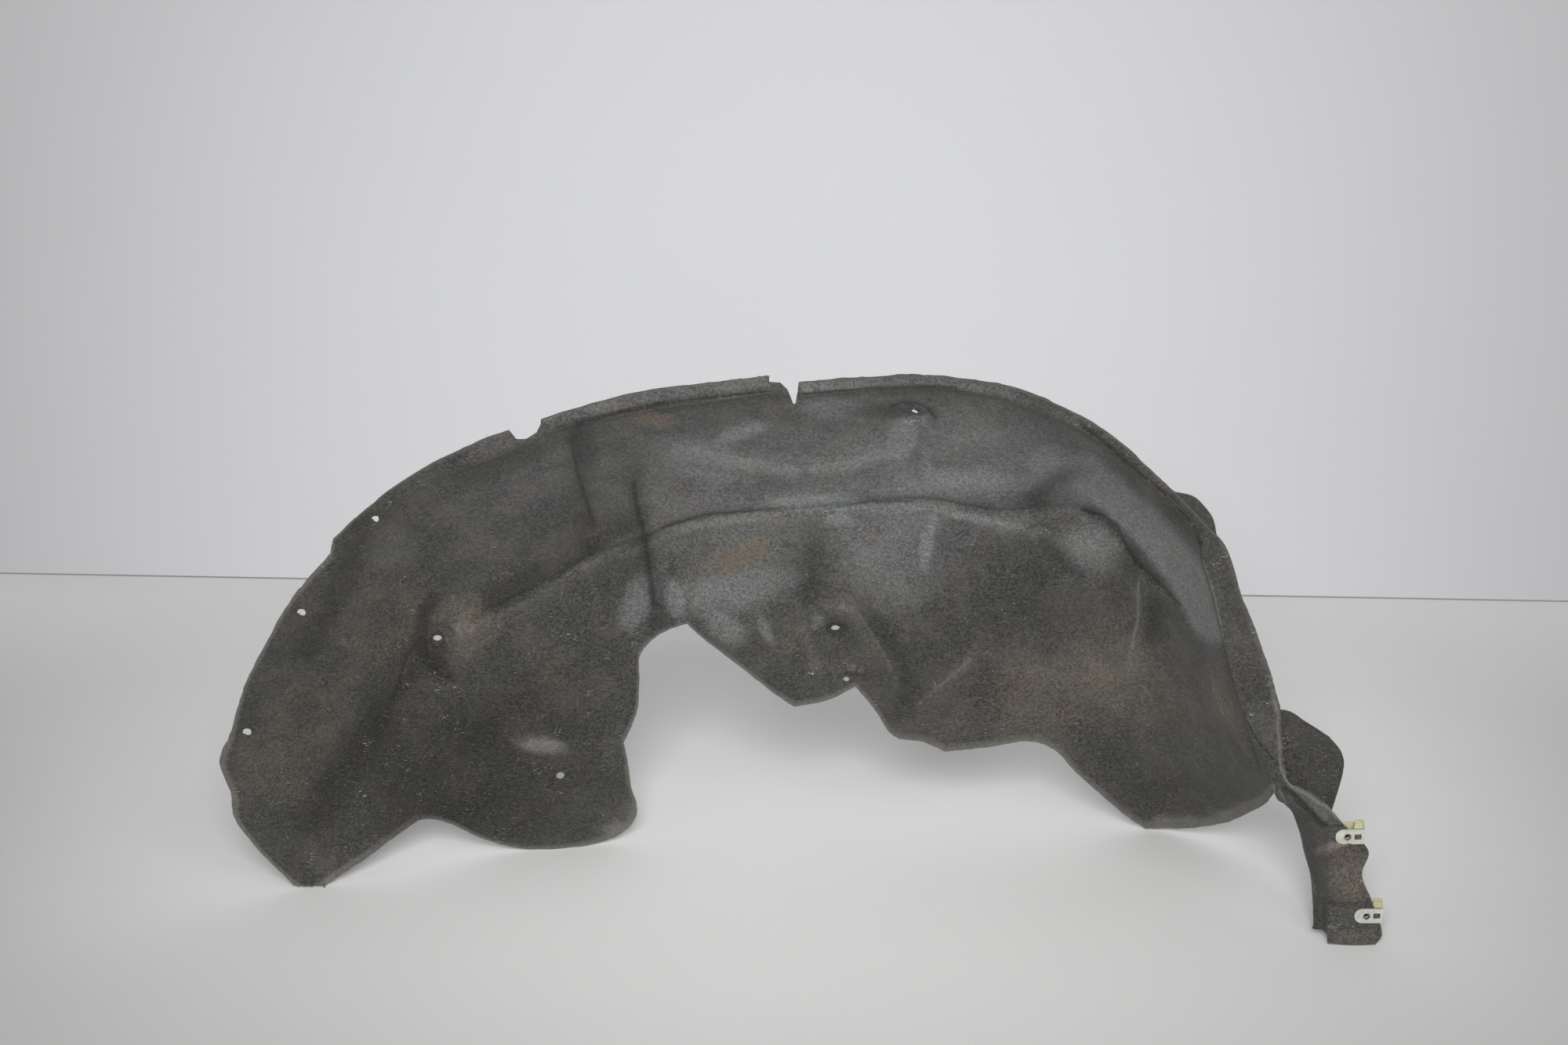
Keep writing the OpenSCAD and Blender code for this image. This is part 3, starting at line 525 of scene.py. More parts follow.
# Uneven felt: long low swells, and a cut edge that wanders a little
run = np.concatenate([[0], np.cumsum(np.linalg.norm(np.diff(shell_grid[:, -1], axis=0), axis=1))])
drop = places * 140
swell = 0.5 * wave(run[:, None] + 0.4 * drop, 3, 38) + 0.35 * wave(drop * 1.3 - 0.3 * run[:, None], 5, 21)
shell_grid[:, :, 1] += (swell + 0.7 * margin_grid) * smooth((places + 0.05) * 6)
for edge, inner, seed in ((-1, -4, 11), (0, 3, 13)):
    out = shell_grid[:, edge] - shell_grid[:, inner]
    out /= np.linalg.norm(out, axis=1, keepdims=True)
    ragged = 0.45 * wave(run, seed, 5.0) + 0.5 * wave(run, seed + 1, 23.0)
    shell_grid[:, edge] += out * ragged[:, None]
shell_grid[:, :, 2] = np.maximum(shell_grid[:, :, 2], 0)


def net_grid(net, ni, nj, row_corners=(), col_corners=()):
    rows = hermite(net, np.linspace(0, len(net) - 1, ni + 1), row_corners)
    across = np.swapaxes(rows, 0, 1)
    return np.swapaxes(hermite(across, np.linspace(0, len(across) - 1, nj + 1), col_corners), 0, 1)


def face_one(u, v):
    return face(u, v, 0.0)[0][0]


strap_root = [face_one(LAST_U - 0.8, -0.95 + 0.18 * k) + [0, FELT_T * 0.35, 0] for k in range(5)]
tail_grid = net_grid([strap_root] + TAIL, 108, 40, [4], [2])
tail_grid[:, :, 1] += pressed(*to_pixels(tail_grid.reshape(-1, 3)), TAIL_LINES).reshape(tail_grid.shape[:2])
flap_root = [face_one(u, v) + FELT_T * 0.3 * dome_normal(u, v) for u, v in FLAP_ROOT]
flap_grid = net_grid([[r] + row for r, row in zip(flap_root, FLAP)], 36, 30)
ear_root = [face_one(u, -0.3) + [0, FELT_T * 0.4, 0] for u in EAR_STATIONS]
ear_grid = net_grid([ear_root, EAR], 12, 40)

felt, shell_rim = sheet("felt_shell", shell_grid)
press_creases(felt, shell_grid.shape[0] * shell_grid.shape[1])
sheets = [sheet(name, grid) for name, grid in (("tail", tail_grid), ("flap", flap_grid), ("ear", ear_grid))]
rims = [shell_rim] + [rim for _, rim in sheets]
boolean(felt, joined([part for part, _ in sheets]), "UNION")
drilled = [(c, n, r) for c, n, _, r in SEATS] + [(face_one(u, v), dome_normal(u, v), DRAIN_R) for u, v in DRAINS]
view = np.array([0, math.cos(CAM_PITCH), -math.sin(CAM_PITCH)])
bores = [cutter_cylinder(c, n, r) for c, n, r in drilled]
for spot in CLIP_SPOTS:
    x0, x1 = spot[0] + CLIP_REACH - CLIP_GAP, spot[0] + 2 * CLIP_REACH
    z0, z1 = spot[2] - CLIP_W / 2 - CLIP_GAP, spot[2] + CLIP_W / 2 + CLIP_GAP
    bores += [cutter_cylinder(spot, (0, 1, 0), CLIP_HOLE_R + 1.5),
              cutter_prism([(x0, z0), (x1, z0), (x1, z1), (x0, z1)], -FELT_T, 2 * FELT_T)]
boolean(felt, joined([cutter_cylinder(c + (THIN_LEFT + THIN_REACH) * n, n, r + THIN_PAST, THIN_REACH)
                      for c, n, r in drilled[THIN_FROM:]]), "DIFFERENCE")
boolean(felt, joined(bores + [cutter_prism(SLIT, -10, 60), cutter_prism(NOTCH, -10, 60)]), "DIFFERENCE")
worn = []
for k, r, wide in WORN:
    cutter = cutter_cylinder(drilled[k][0] + WORN_BACK * view, view, r, WORN_REACH)
    for v in cutter.data.vertices:
        off = (v.co.x - (drilled[k][0][0] - MID[0]) * MM) * (wide - 1)
        v.co.x, v.co.z = v.co.x + off, v.co.z - WORN_SLANT * off
    worn.append(cutter)
boolean(felt, joined(worn), "DIFFERENCE")


def grid_surface(grids):
    points, quads = [], []
    for g in grids:
        ids = np.arange(g.shape[0] * g.shape[1]).reshape(g.shape[:2]) + len(points)
        points += [Vector(p) for p in g.reshape(-1, 3)]
        quads += np.stack([ids[:-1, :-1], ids[1:, :-1], ids[1:, 1:], ids[:-1, 1:]], 2).reshape(-1, 4).tolist()
    return bvhtree.BVHTree.FromPolygons(points, quads)


def point_tree(points):
    tree = kdtree.KDTree(len(points))
    for k, p in enumerate(points):
        tree.insert(Vector(p), k)
    tree.balance()
    return tree


co = np.empty(len(felt.data.vertices) * 3)
felt.data.vertices.foreach_get("co", co)
co = co.reshape(-1, 3) / MM + MID
shell_tree = point_tree(shell_grid.reshape(-1, 3))
hits = [shell_tree.find(Vector(p)) for p in co]
near = np.array([h[1] for h in hits])
away = np.array([h[2] for h in hits])
on_shell = away < 6
surface = grid_surface([shell_grid, tail_grid, flap_grid])
front_side = np.array([surface.find_nearest(Vector(p))[3] for p in co]) < 1.7
sunk_here = np.where(on_shell, sunk_grid.ravel()[near], 0)
margin_here = np.where(on_shell, margin_grid.ravel()[near], 0)
lip_here = np.where(on_shell, (places.ravel()[near] < -0.02) * 1.0, 0)
rim_tree = point_tree(np.concatenate(rims))
to_rim = np.array([rim_tree.find(Vector(p))[2] for p in co])
px, py = to_pixels(co)


def blots(ovals):
    """The sum of soft ovals."""
    total = 0
    for cx, cy, rx, ry, strength, *rest in ovals:
        turn, hard = rest + [0, 1][len(rest):]
        a, dx, dy = math.radians(turn), px - cx, py - cy
        d = np.hypot((dx * math.cos(a) + dy * math.sin(a)) / rx, (-dx * math.sin(a) + dy * math.cos(a)) / ry)
        total = total + strength * (1 - smooth((d - 1) * hard + 0.5))
    return total


def streaks(rows, hard=1):
    """The sum of soft bands along lines."""
    return sum(strength * (1 - smooth((to_line(px, py, line) / wide - 1) * hard + 0.5))
               for wide, strength, line in rows)


# Tones in the photograph's pixels: brown stains, blue-grey wear with painted highlights, pale painted highlights and
# dark painted shade. Ovals: middle, radii, strength, then turn and hardness where not 0 and 1
BROWN = [
    (836, 536, 34, 12, 0.95, 6, 1.5), (983, 527, 12, 14, 0.7, 0, 2), (936, 714, 50, 23, 0.92, -24, 0.9),
    (965, 697, 16, 14, 0.8, -10, 3), (870, 755, 14, 26, 0.35, 0, 1.5), (500, 790, 70, 95, 0.45, 25, 0.8),
    (365, 945, 62, 115, 0.5, 20, 0.8), (1420, 830, 70, 45, 0.5, 0, 0.8), (1562, 885, 22, 60, 0.55, -14, 0.8),
    (1380, 885, 130, 45, 0.4, 8, 0.8), (606, 803, 34, 40, 0.75, 10), (1010, 818, 24, 20, 0.6),
    (1120, 828, 8, 24, 0.6, -35, 1.5), (700, 870, 90, 40, 0.35, -10, 0.7), (1112, 595, 10, 9, 0.82),
    (1111, 682, 9, 9, 0.82), (1168, 596, 5, 16, 0.7, 0, 2), (840, 655, 14, 22, 0.5, 0, 1.5),
    (765, 680, 14, 6, 0.5, -35, 2), (1235, 752, 8, 10, 0.8), (1240, 560, 14, 12, 0.35, 0, 1.5),
    (1466, 622, 34, 9, 0.5, 45, 1.3), (1692, 1084, 18, 8, 0.5, -15), (1712, 1076, 14, 6, 0.4),
    (1722, 1120, 27, 44, 0.7, 0, 0.9), (1735, 1195, 34, 12, 0.6), (1300, 900, 120, 40, 0.25, 0, 0.7),
    (1520, 930, 60, 70, 0.3, 0, 0.7), (590, 620, 40, 30, 0.2, 0, 0.8), (1060, 850, 40, 22, 0.35),
]
# Blue-grey worn felt, with painted highlights on lit ramps, ledges and plateau edges
BLUE = [
    (980, 605, 240, 80, 0.42, 5, 0.7), (1230, 590, 190, 70, 0.32, 14, 0.7), (930, 720, 90, 70, 0.28, 0, 0.7),
    (1150, 700, 90, 60, 0.2, 0, 0.7), (640, 640, 90, 50, 0.15, -30, 0.7), (812, 768, 19, 36, 0.6, 22),
    (1070, 664, 20, 9, 0.55, 0, 1.5), (1040, 642, 60, 10, 0.6, 0, 1.2), (1150, 560, 17, 24, 0.85, 25, 1.4),
    (940, 752, 70, 26, 0.5, -8, 0.9), (925, 800, 30, 16, 0.5, 30), (1395, 700, 34, 34, 0.5, 30),
    (945, 552, 34, 9, 0.6, -18, 1.2), (1060, 520, 40, 14, 0.35), (1130, 730, 60, 55, 0.3, 0, 0.7),
    (976, 803, 7, 22, 0.4, -28, 1.2), (1240, 612, 60, 12, 0.5, 4, 0.8), (1043, 792, 9, 10, 0.6, 0, 1.5),
    (1290, 560, 110, 40, 0.3, 18, 0.7), (1350, 610, 40, 26, 0.35, 30, 0.8), (1182, 698, 8, 30, 0.5, 6, 1.5),
    (1190, 664, 7, 7, 0.5, 0, 2), (900, 590, 50, 20, 0.35, 15, 0.8), (1270, 668, 70, 6, 0.35, 12, 1.5),
    (1180, 592, 8, 20, 0.4, 0, 1.5), (860, 765, 12, 26, 0.45, -12, 1.5),
]
# Pale ovals: painted highlights on the bowl's wall, the bead ends and the tail, and a few broad pale patches
PALE = [
    (1690, 1083, 15, 6, 0.5, -15, 0.9), (1704, 1077, 14, 4, 0.35, -10, 0.9), (692, 951, 30, 10, 1, 4, 1.2),
    (1699, 1182, 7, 2, 0.7, 10, 2), (1030, 494, 7, 6, 0.7, 0, 1.5), (780, 700, 62, 7, 0.3, -30, 1.3),
    (930, 664, 90, 5, 0.3, -8, 1.5), (584, 812, 5, 17, 0.6, 0, 1.3), (782, 1055, 26, 5, 0.7, -12, 1.5),
    (1088, 855, 14, 3, 0.5, 10, 2), (500, 700, 30, 30, 0.2, 0, 0.8), (1400, 860, 90, 40, 0.2, 10, 0.7),
]
# Dark ovals: partly painted shade in pockets, hollows and under folds, partly dirt
DARK = [
    (420, 890, 150, 190, 0.28, 20, 0.5), (590, 985, 150, 70, 0.18, 0, 0.7), (664, 1035, 90, 34, 0.16, 0, 0.7),
    (1020, 725, 120, 60, 0.12, 0, 0.7), (1034, 725, 16, 58, 0.36, 6), (1125, 815, 14, 60, 0.45, -32),
    (600, 1000, 130, 80, 0.5, 0, 0.7), (500, 1080, 70, 50, 0.3, 0, 0.7), (1668, 1105, 14, 80, 0.35, -8),
    (1700, 1125, 9, 36, 0.15), (1125, 524, 50, 9, 0.4, 0, 1.2), (1468, 782, 11, 44, 0.42),
    (1160, 905, 45, 30, 0.3, 0, 0.8), (748, 575, 14, 34, 0.5, -12), (650, 590, 62, 12, 0.4, -22),
    (1190, 533, 8, 14, 0.3, 0, 1.5), (1068, 798, 14, 8, 0.5, -10, 1.5), (560, 845, 14, 24, 0.5, 0, 1.2),
    (1340, 630, 36, 20, 0.35, -30, 0.9), (1505, 668, 16, 40, 0.3, -40), (1445, 720, 16, 22, 0.3),
    (1190, 860, 60, 50, 0.25, 0, 0.7), (858, 727, 5, 7, 0.5, 0, 2), (640, 900, 70, 60, 0.4, 0, 0.6),
    (740, 900, 50, 80, 0.3, 0, 0.7), (1460, 1000, 90, 30, 0.25, 10, 0.7),
]
# Streaks: half width, strength and line
SHADOWS = lines(
    (16, 0.3, 462, 665, 449, 715, 420, 785, 392, 832), (22, 0.22, 480, 925, 425, 1005, 395, 1042),
    (8, 1, 552, 762, 541, 780, 535, 808, 540, 833, 568, 859), (12, 0.25, 625, 765, 690, 728, 800, 676),
    (4, 0.35, 808, 620, 815, 660, 823, 700, 832, 762), (14, 0.35, 490, 900, 462, 945),
    (7, 0.35, 1330, 692, 1378, 738), (9, 0.3, 1395, 655, 1432, 690, 1445, 720), (3.5, 0.95, *CREVICE),
    (2, 0.6, 1691, 1054, 1702, 1054, 1715, 1053), (3, 0.55, 1696, 1153, 1750, 1153), (3, 0.7, 1689, 1146, 1690, 1190),
    (2.5, 0.3, 1018, 520, 1020, 560),
)
# Pale streaks added to the blue-grey: painted highlights along the lip's rolled edge, pale bands along the roof's
# ridges and a worn haze at the right
HAZE_AND_HIGHLIGHTS = lines(
    (7, 0.3, 700, 534, 760, 521, 846, 502, 978, 486), (6, 0.3, 1025, 494, 1106, 489, 1190, 486, 1290, 501),
    (7, 0.45, 865, 577, 940, 590, 1012, 603), (7, 0.35, 1040, 601, 1090, 592, 1130, 580),
    (14, 0.7, 1412, 622, 1460, 680, 1502, 735, 1532, 790),
)
# Pale lines: painted highlights along the strap's edge, over the strap and along the tail's cut edge, and a pale haze
# at the right
PALE_LINES = lines(
    (2.4, 0.9, *STRAP_EDGE), (10, 0.35, 1470, 664, 1508, 708, 1531, 752, 1548, 800),
    (8, 0.3, 1647, 1007, 1668, 1021, 1688, 1040),
    (2.2, 0.5, 1632, 1008, 1642, 1030, 1658, 1068, 1670, 1112, 1678, 1140),
)
DUST_BAND = lines((21, 0.95, 1386, 604, 1435, 645, 1484, 688, 1518, 731, 1540, 772, 1550, 800))
brown = np.clip(blots(BROWN), 0, 1)
blue = np.clip(blots(BLUE) + streaks(DUST_BAND, 0.8) * (1 - lip_here) + streaks(HAZE_AND_HIGHLIGHTS), 0, 1)
pale = blots(PALE)
# Lighter: the pressed margin, and painted highlights on raised relief, pale ovals and lines and raised cut edges
light = np.clip(0.75 * margin_here + 0.05 * np.maximum(-sunk_here, 0)
                + front_side * (pale + streaks(PALE_LINES) + 1.3 * sharpness(co, -1) * on_shell), 0, 1)
# Painted shade with some dirt: darker where the moulded lines sink in, in the dark ovals and shadow streaks, on the
# lip band and along sharp creases; less under the painted highlights
dark = (0.115 * np.maximum(sunk_here, 0) + blots(DARK)) * (1 - 0.85 * np.clip(pale, 0, 1))
dark = np.clip(dark + streaks(SHADOWS) + 0.15 * lip_here + sharpness(co) * on_shell, 0, 1) * (0.2 + 0.8 * front_side)
rim_here = 1 - smooth((to_rim - 0.2) / 1.0)


def colour_layer(obj, name, *channels):
    values = np.stack(channels, 1).astype(np.float32).ravel()
    obj.data.attributes.new(name, "FLOAT_COLOR", "POINT").data.foreach_set("color", values)


def dress(obj, material, sharp):
    """One material over the whole piece, smooth below the sharp angle."""
    mesh = obj.data
    mesh.materials.clear()
    mesh.materials.append(material)
    mesh.polygons.foreach_set("material_index", np.zeros(len(mesh.polygons), np.int32))
    mesh.polygons.foreach_set("use_smooth", np.ones(len(mesh.polygons), bool))
    mesh.set_sharp_from_angle(angle=math.radians(sharp))


# Tone layer: brown stains, blue-grey wear with painted highlights, lighter margins with painted highlights, and
# painted shade with some dirt
colour_layer(felt, "tone", brown, blue, light, dark)
colour_layer(felt, "edge", rim_here, front_side * 1.0, margin_here, rim_here)


class Nodes:
    """A material's node tree, built by short calls."""

    def __init__(self, name):
        self.material = bpy.data.materials.new(name)
        self.material.use_nodes = True
        self.tree = self.material.node_tree
        self.shader = self.tree.nodes["Principled BSDF"]
        self.place = self.add("ShaderNodeTexCoord").outputs["Object"]

    def add(self, kind, inputs=(), **settings):
        node = self.tree.nodes.new(kind)
        for key, value in settings.items():
            setattr(node, key, value)
        for key, value in dict(inputs).items():
            self.put(node.inputs[key], value)
        return node

    def put(self, socket, value):
        if isinstance(value, bpy.types.NodeSocket):
            self.tree.links.new(value, socket)
        else:
            socket.default_value = value

    def math(self, operation, a, b):
        return self.add("ShaderNodeMath", {0: a, 1: b}, operation=operation).outputs[0]

    def times(self, a, b):
        return self.math("MULTIPLY", a, b)

    def plus(self, a, b):
        return self.math("ADD", a, b)

    def channels(self, name):
        """The red, green, blue and alpha of a colour layer."""
        layer = self.add("ShaderNodeAttribute", attribute_name=name)
        split = self.add("ShaderNodeSeparateColor", {"Color": layer.outputs["Color"]})
        return split.outputs["Red"], split.outputs["Green"], split.outputs["Blue"], layer.outputs["Alpha"]

    def mix(self, factor, a, b, blend="MIX"):
        node = self.add("ShaderNodeMix", data_type="RGBA", blend_type=blend)
        self.put(node.inputs[0], factor)
        self.put(node.inputs[6], a)
        self.put(node.inputs[7], b)
        return node.outputs[2]

    def noise(self, scale, detail, rough, place=None):
        node = self.add("ShaderNodeTexNoise", {"Vector": place or self.place, "Scale": scale, "Detail": detail,
                                               "Roughness": rough})
        return node.outputs["Fac"]

    def ramp(self, value, low, high):
        """0 below low and 1 above high."""
        node = self.add("ShaderNodeMapRange", {"Value": value, "From Min": low, "From Max": high},
                        interpolation_type="SMOOTHSTEP")
        return node.outputs["Result"]

    def stretched(self, turn, scale, place):
        node = self.add("ShaderNodeMapping", {"Vector": place, "Rotation": turn, "Scale": scale})
        return node.outputs["Vector"]

    def bump(self, height, strength, distance):
        node = self.add("ShaderNodeBump", {"Height": height, "Strength": strength, "Distance": distance})
        self.put(self.shader.inputs["Normal"], node.outputs["Normal"])


def rgb(r, g, b):
    return (r, g, b, 1.0)


def felt_material():
    n = Nodes("needle_felt")
    warp = n.add("ShaderNodeTexNoise", {"Vector": n.place, "Scale": 45, "Detail": 2.0}).outputs["Color"]
    bent = n.add("ShaderNodeVectorMath", {0: warp, 1: (0.012, 0.012, 0.012)}, operation="MULTIPLY").outputs[0]
    bent = n.add("ShaderNodeVectorMath", {0: n.place, 1: bent}, operation="ADD").outputs[0]
    fibres = None
    for k, turn in enumerate((0.35, 1.45, 2.5)):
        place = n.stretched((0.2 * k, turn, 0.3 - 0.2 * k), (150, 1100, 1100), bent)
        strand = n.ramp(n.noise(1, 1.5, 0.5, place), 0.58, 0.74)
        fibres = strand if fibres is None else n.math("MAXIMUM", fibres, strand)
    speck = n.noise(900, 3, 0.7)
    clump = n.noise(1, 4, 0.6, n.stretched((0, 0, 0), (400, 160, 430), bent))
    patch = n.noise(24, 5, 0.65)
    broad = n.noise(5, 3, 0.5)
    brown, blue, light, dark = n.channels("tone")
    rim, front = n.channels("edge")[:2]

    grain = n.plus(n.times(clump, 0.5), n.times(speck, 0.5))
    fine = n.ramp(grain, 0.41, 0.59)
    colour = n.mix(fine, rgb(0.024, 0.024, 0.0225), rgb(0.068, 0.066, 0.061))
    colour = n.mix(n.times(n.ramp(patch, 0.46, 0.58), 0.4), colour, rgb(0.076, 0.065, 0.055))
    colour = n.mix(n.times(n.ramp(broad, 0.47, 0.58), 0.35), colour, rgb(0.045, 0.046, 0.041))
    mottle = n.plus(n.times(patch, 0.8), n.times(grain, 0.9))
    brownish = n.times(n.ramp(n.plus(brown, mottle), 1.05, 1.45), front)
    mud = n.mix(fine, rgb(0.045, 0.038, 0.029), rgb(0.112, 0.092, 0.069))
    colour = n.mix(n.times(brownish, 0.75), colour, mud)
    # Blue-grey worn dust, with the painted highlights carried in the blue channel
    haze_and_highlight = n.ramp(n.plus(n.times(blue, 1.2), mottle), 0.62, 2.35)
    dust_and_highlight = n.mix(fine, rgb(0.133, 0.137, 0.138), rgb(0.258, 0.265, 0.266))
    colour = n.mix(n.times(haze_and_highlight, front), colour, dust_and_highlight)
    spot = n.ramp(n.plus(brown, n.times(mottle, 0.45)), 1.02, 1.36)
    tan = n.mix(fine, rgb(0.096, 0.079, 0.061), rgb(0.172, 0.144, 0.113))
    colour = n.mix(n.times(spot, front), colour, tan)
    # Pale felt on the pressed margins, and painted highlights
    bare_and_highlight = n.mix(fine, rgb(0.138, 0.131, 0.116), rgb(0.225, 0.214, 0.193))
    colour = n.mix(n.times(light, 0.8), colour, bare_and_highlight)
    # Painted shade with some dirt: near black where the tone layer is dark
    colour = n.mix(n.times(dark, 0.75), colour, rgb(0.013, 0.0125, 0.012))
    tint = n.add("ShaderNodeTexNoise", {"Vector": bent, "Scale": 26, "Detail": 1.5}).outputs["Color"]
    colour = n.mix(0.12, colour, n.mix(0.4, tint, rgb(0.56, 0.52, 0.44)), "OVERLAY")
    strands = n.times(fibres, n.plus(0.2, n.times(patch, 0.6)))
    colour = n.mix(strands, colour, n.mix(0.5, colour, rgb(0.210, 0.205, 0.188)))
    bright = n.times(n.ramp(fibres, 0.75, 1), n.ramp(n.noise(60, 2, 0.6), 0.55, 0.66))
    colour = n.mix(bright, colour, rgb(0.300, 0.285, 0.255))
    colour = n.mix(n.times(rim, 0.35), colour, rgb(0.150, 0.147, 0.135))
    n.put(n.shader.inputs["Base Color"], colour)
    n.shader.inputs["Roughness"].default_value = 0.95
    n.shader.inputs["Specular IOR Level"].default_value = 0.15
    n.shader.inputs["Sheen Weight"].default_value = 0.12
    n.shader.inputs["Sheen Roughness"].default_value = 0.5
    height = n.plus(n.times(fibres, 0.4), n.times(speck, 0.35))
    height = n.plus(height, n.times(clump, 0.6))
    n.bump(height, 0.9, 0.0008)
    return n.material


dress(felt, felt_material(), 50)
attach(felt, "root")
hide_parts("liner_shell")


def outline_round(x0, x1, z0, z1, radii, steps=8):
    """A rectangle with its own corner radius at lower left, lower right, upper right and upper left."""
    corners = [(x0, z0, 180), (x1, z0, 270), (x1, z1, 0), (x0, z1, 90)]
    points = []
    for (x, z, start), r in zip(corners, radii):
        cx, cz = x + (r if x == x0 else -r), z + (r if z == z0 else -r)
        for k in range(steps + 1):
            a = math.radians(start + 90 * k / steps)
            points.append((cx + r * math.cos(a), cz + r * math.sin(a)))
    return points


def union_of(name, solids):
    whole = solids[0]
    whole.name = name
    for solid in solids[1:]:
        boolean(whole, solid, "UNION")
    return whole


def clip(name, node, spot):
    """A push-on clip: round tongue with a window, end wall with shelves, back plate and screw barrel."""
    x, y, z = spot
    half, end = CLIP_W / 2, CLIP_REACH + CLIP_T
    front, back = -CLIP_GAP - CLIP_T, CLIP_BACK + CLIP_DEPTH + CLIP_T

    def prism(shape, y0, y1):
        return cutter_prism([(x + a, z + b) for a, b in shape], y + y0, y + y1)

    def box(x0, x1, z0, z1, y0, y1):
        return prism([(x0, z0), (x1, z0), (x1, z1), (x0, z1)], y0, y1)

    parts = [prism(outline_round(-CLIP_NOSE, end, -half, half, (half - 0.01, 1, 1, half - 0.01)), front, -CLIP_GAP),
             prism(outline_round(-BARREL_R, end, -BARREL_R, BARREL_R, (BARREL_R - 0.01, 0.5, 0.5, BARREL_R - 0.01)),
                   back - CLIP_T, back),
             box(CLIP_REACH, end, -half, half, front, back),
             cutter_cylinder((x, y + front - 0.1, z), (0, 1, 0), CLIP_HOLE_R + 1.4, 0.5),
             cutter_cylinder((x, y + (CLIP_BACK + back) / 2, z), (0, 1, 0), BARREL_R, (back - CLIP_BACK) / 2)]
    for low in (-half, -CLIP_T / 2, half - CLIP_T):
        parts.append(box(CLIP_REACH - SHELF_W, end - 0.01, low, low + CLIP_T, CLIP_BACK, back))
    for step in (1.5, 5.5, 9.5, 13.5):
        parts.append(box(CLIP_REACH - SHELF_W + 0.3, end - 0.3, half - 0.3, half + 0.7,
                         CLIP_BACK + step, CLIP_BACK + step + 1.3))
    piece = union_of(name, parts)
    boolean(piece, cutter_cylinder((x, y, z), (0, 1, 0), CLIP_HOLE_R, 30), "DIFFERENCE")
    window = outline_round(CLIP_REACH - 7, CLIP_REACH - 1, -2.5, 2.5, (0.6,) * 4)
    boolean(piece, prism(window, -4, CLIP_BACK), "DIFFERENCE")
    for v in piece.data.vertices:    # the back leans outwards
        far = v.co.y / MM + MID[1] - CLIP_BACK
        if v.co.x / MM + MID[0] > x + LEAN_FROM and far > 0:
            v.co.x += CLIP_LEAN * far * MM
    bevel = piece.modifiers.new("bevel", "BEVEL")
    bevel.width, bevel.segments, bevel.limit_method, bevel.angle_limit = 0.22 * MM, 2, "ANGLE", math.radians(40)
    bpy.context.view_layer.objects.active = piece
    bpy.ops.object.modifier_apply(modifier=bevel.name)
    dress(piece, CLIP_PLASTIC, 35)
    co = np.array([v.co for v in piece.data.vertices]) / MM + MID
    in_bore = (np.hypot(co[:, 0] - x, co[:, 2] - z) < CLIP_HOLE_R + 0.12) * 1.0
    colour_layer(piece, "zone", in_bore, smooth((co[:, 1] + 1) / 5), in_bore, in_bore)
    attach(piece, "root")
    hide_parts(node)


def clip_material():
    n = Nodes("aged_clip_plastic")
    cloud = n.ramp(n.noise(120, 3, 0.6), 0.35, 0.65)
    grime = n.ramp(n.noise(420, 4, 0.7), 0.52, 0.72)
    in_bore, back = n.channels("zone")[:2]
    colour = n.mix(back, n.mix(cloud, rgb(0.40, 0.405, 0.36), rgb(0.48, 0.485, 0.435)),
                   n.mix(cloud, rgb(0.47, 0.455, 0.27), rgb(0.56, 0.545, 0.36)))
    colour = n.mix(n.times(grime, 0.35), colour, rgb(0.22, 0.20, 0.14))
    # Painted shade inside the screw hole: near black in the bore
    colour = n.mix(n.times(in_bore, 0.9), colour, rgb(0.035, 0.033, 0.028))
    n.put(n.shader.inputs["Base Color"], colour)
    n.shader.inputs["Roughness"].default_value = 0.45
    n.bump(n.noise(900, 3, 0.6), 0.25, 0.0003)
    return n.material


CLIP_PLASTIC = clip_material()
clip("clip_top", "clip_upper", CLIP_SPOTS[0])
clip("clip_bottom", "clip_lower", CLIP_SPOTS[1])


# Loose fibres off the cut edges, where the edge's points are neither doubled nor far apart
FIBRE_ROWS, FIBRE_R, FIBRE_TAPER, FIBRE_BEND, EDGE_STEPS = 4, 0.1, 0.8, 0.35, (0.05, 12)


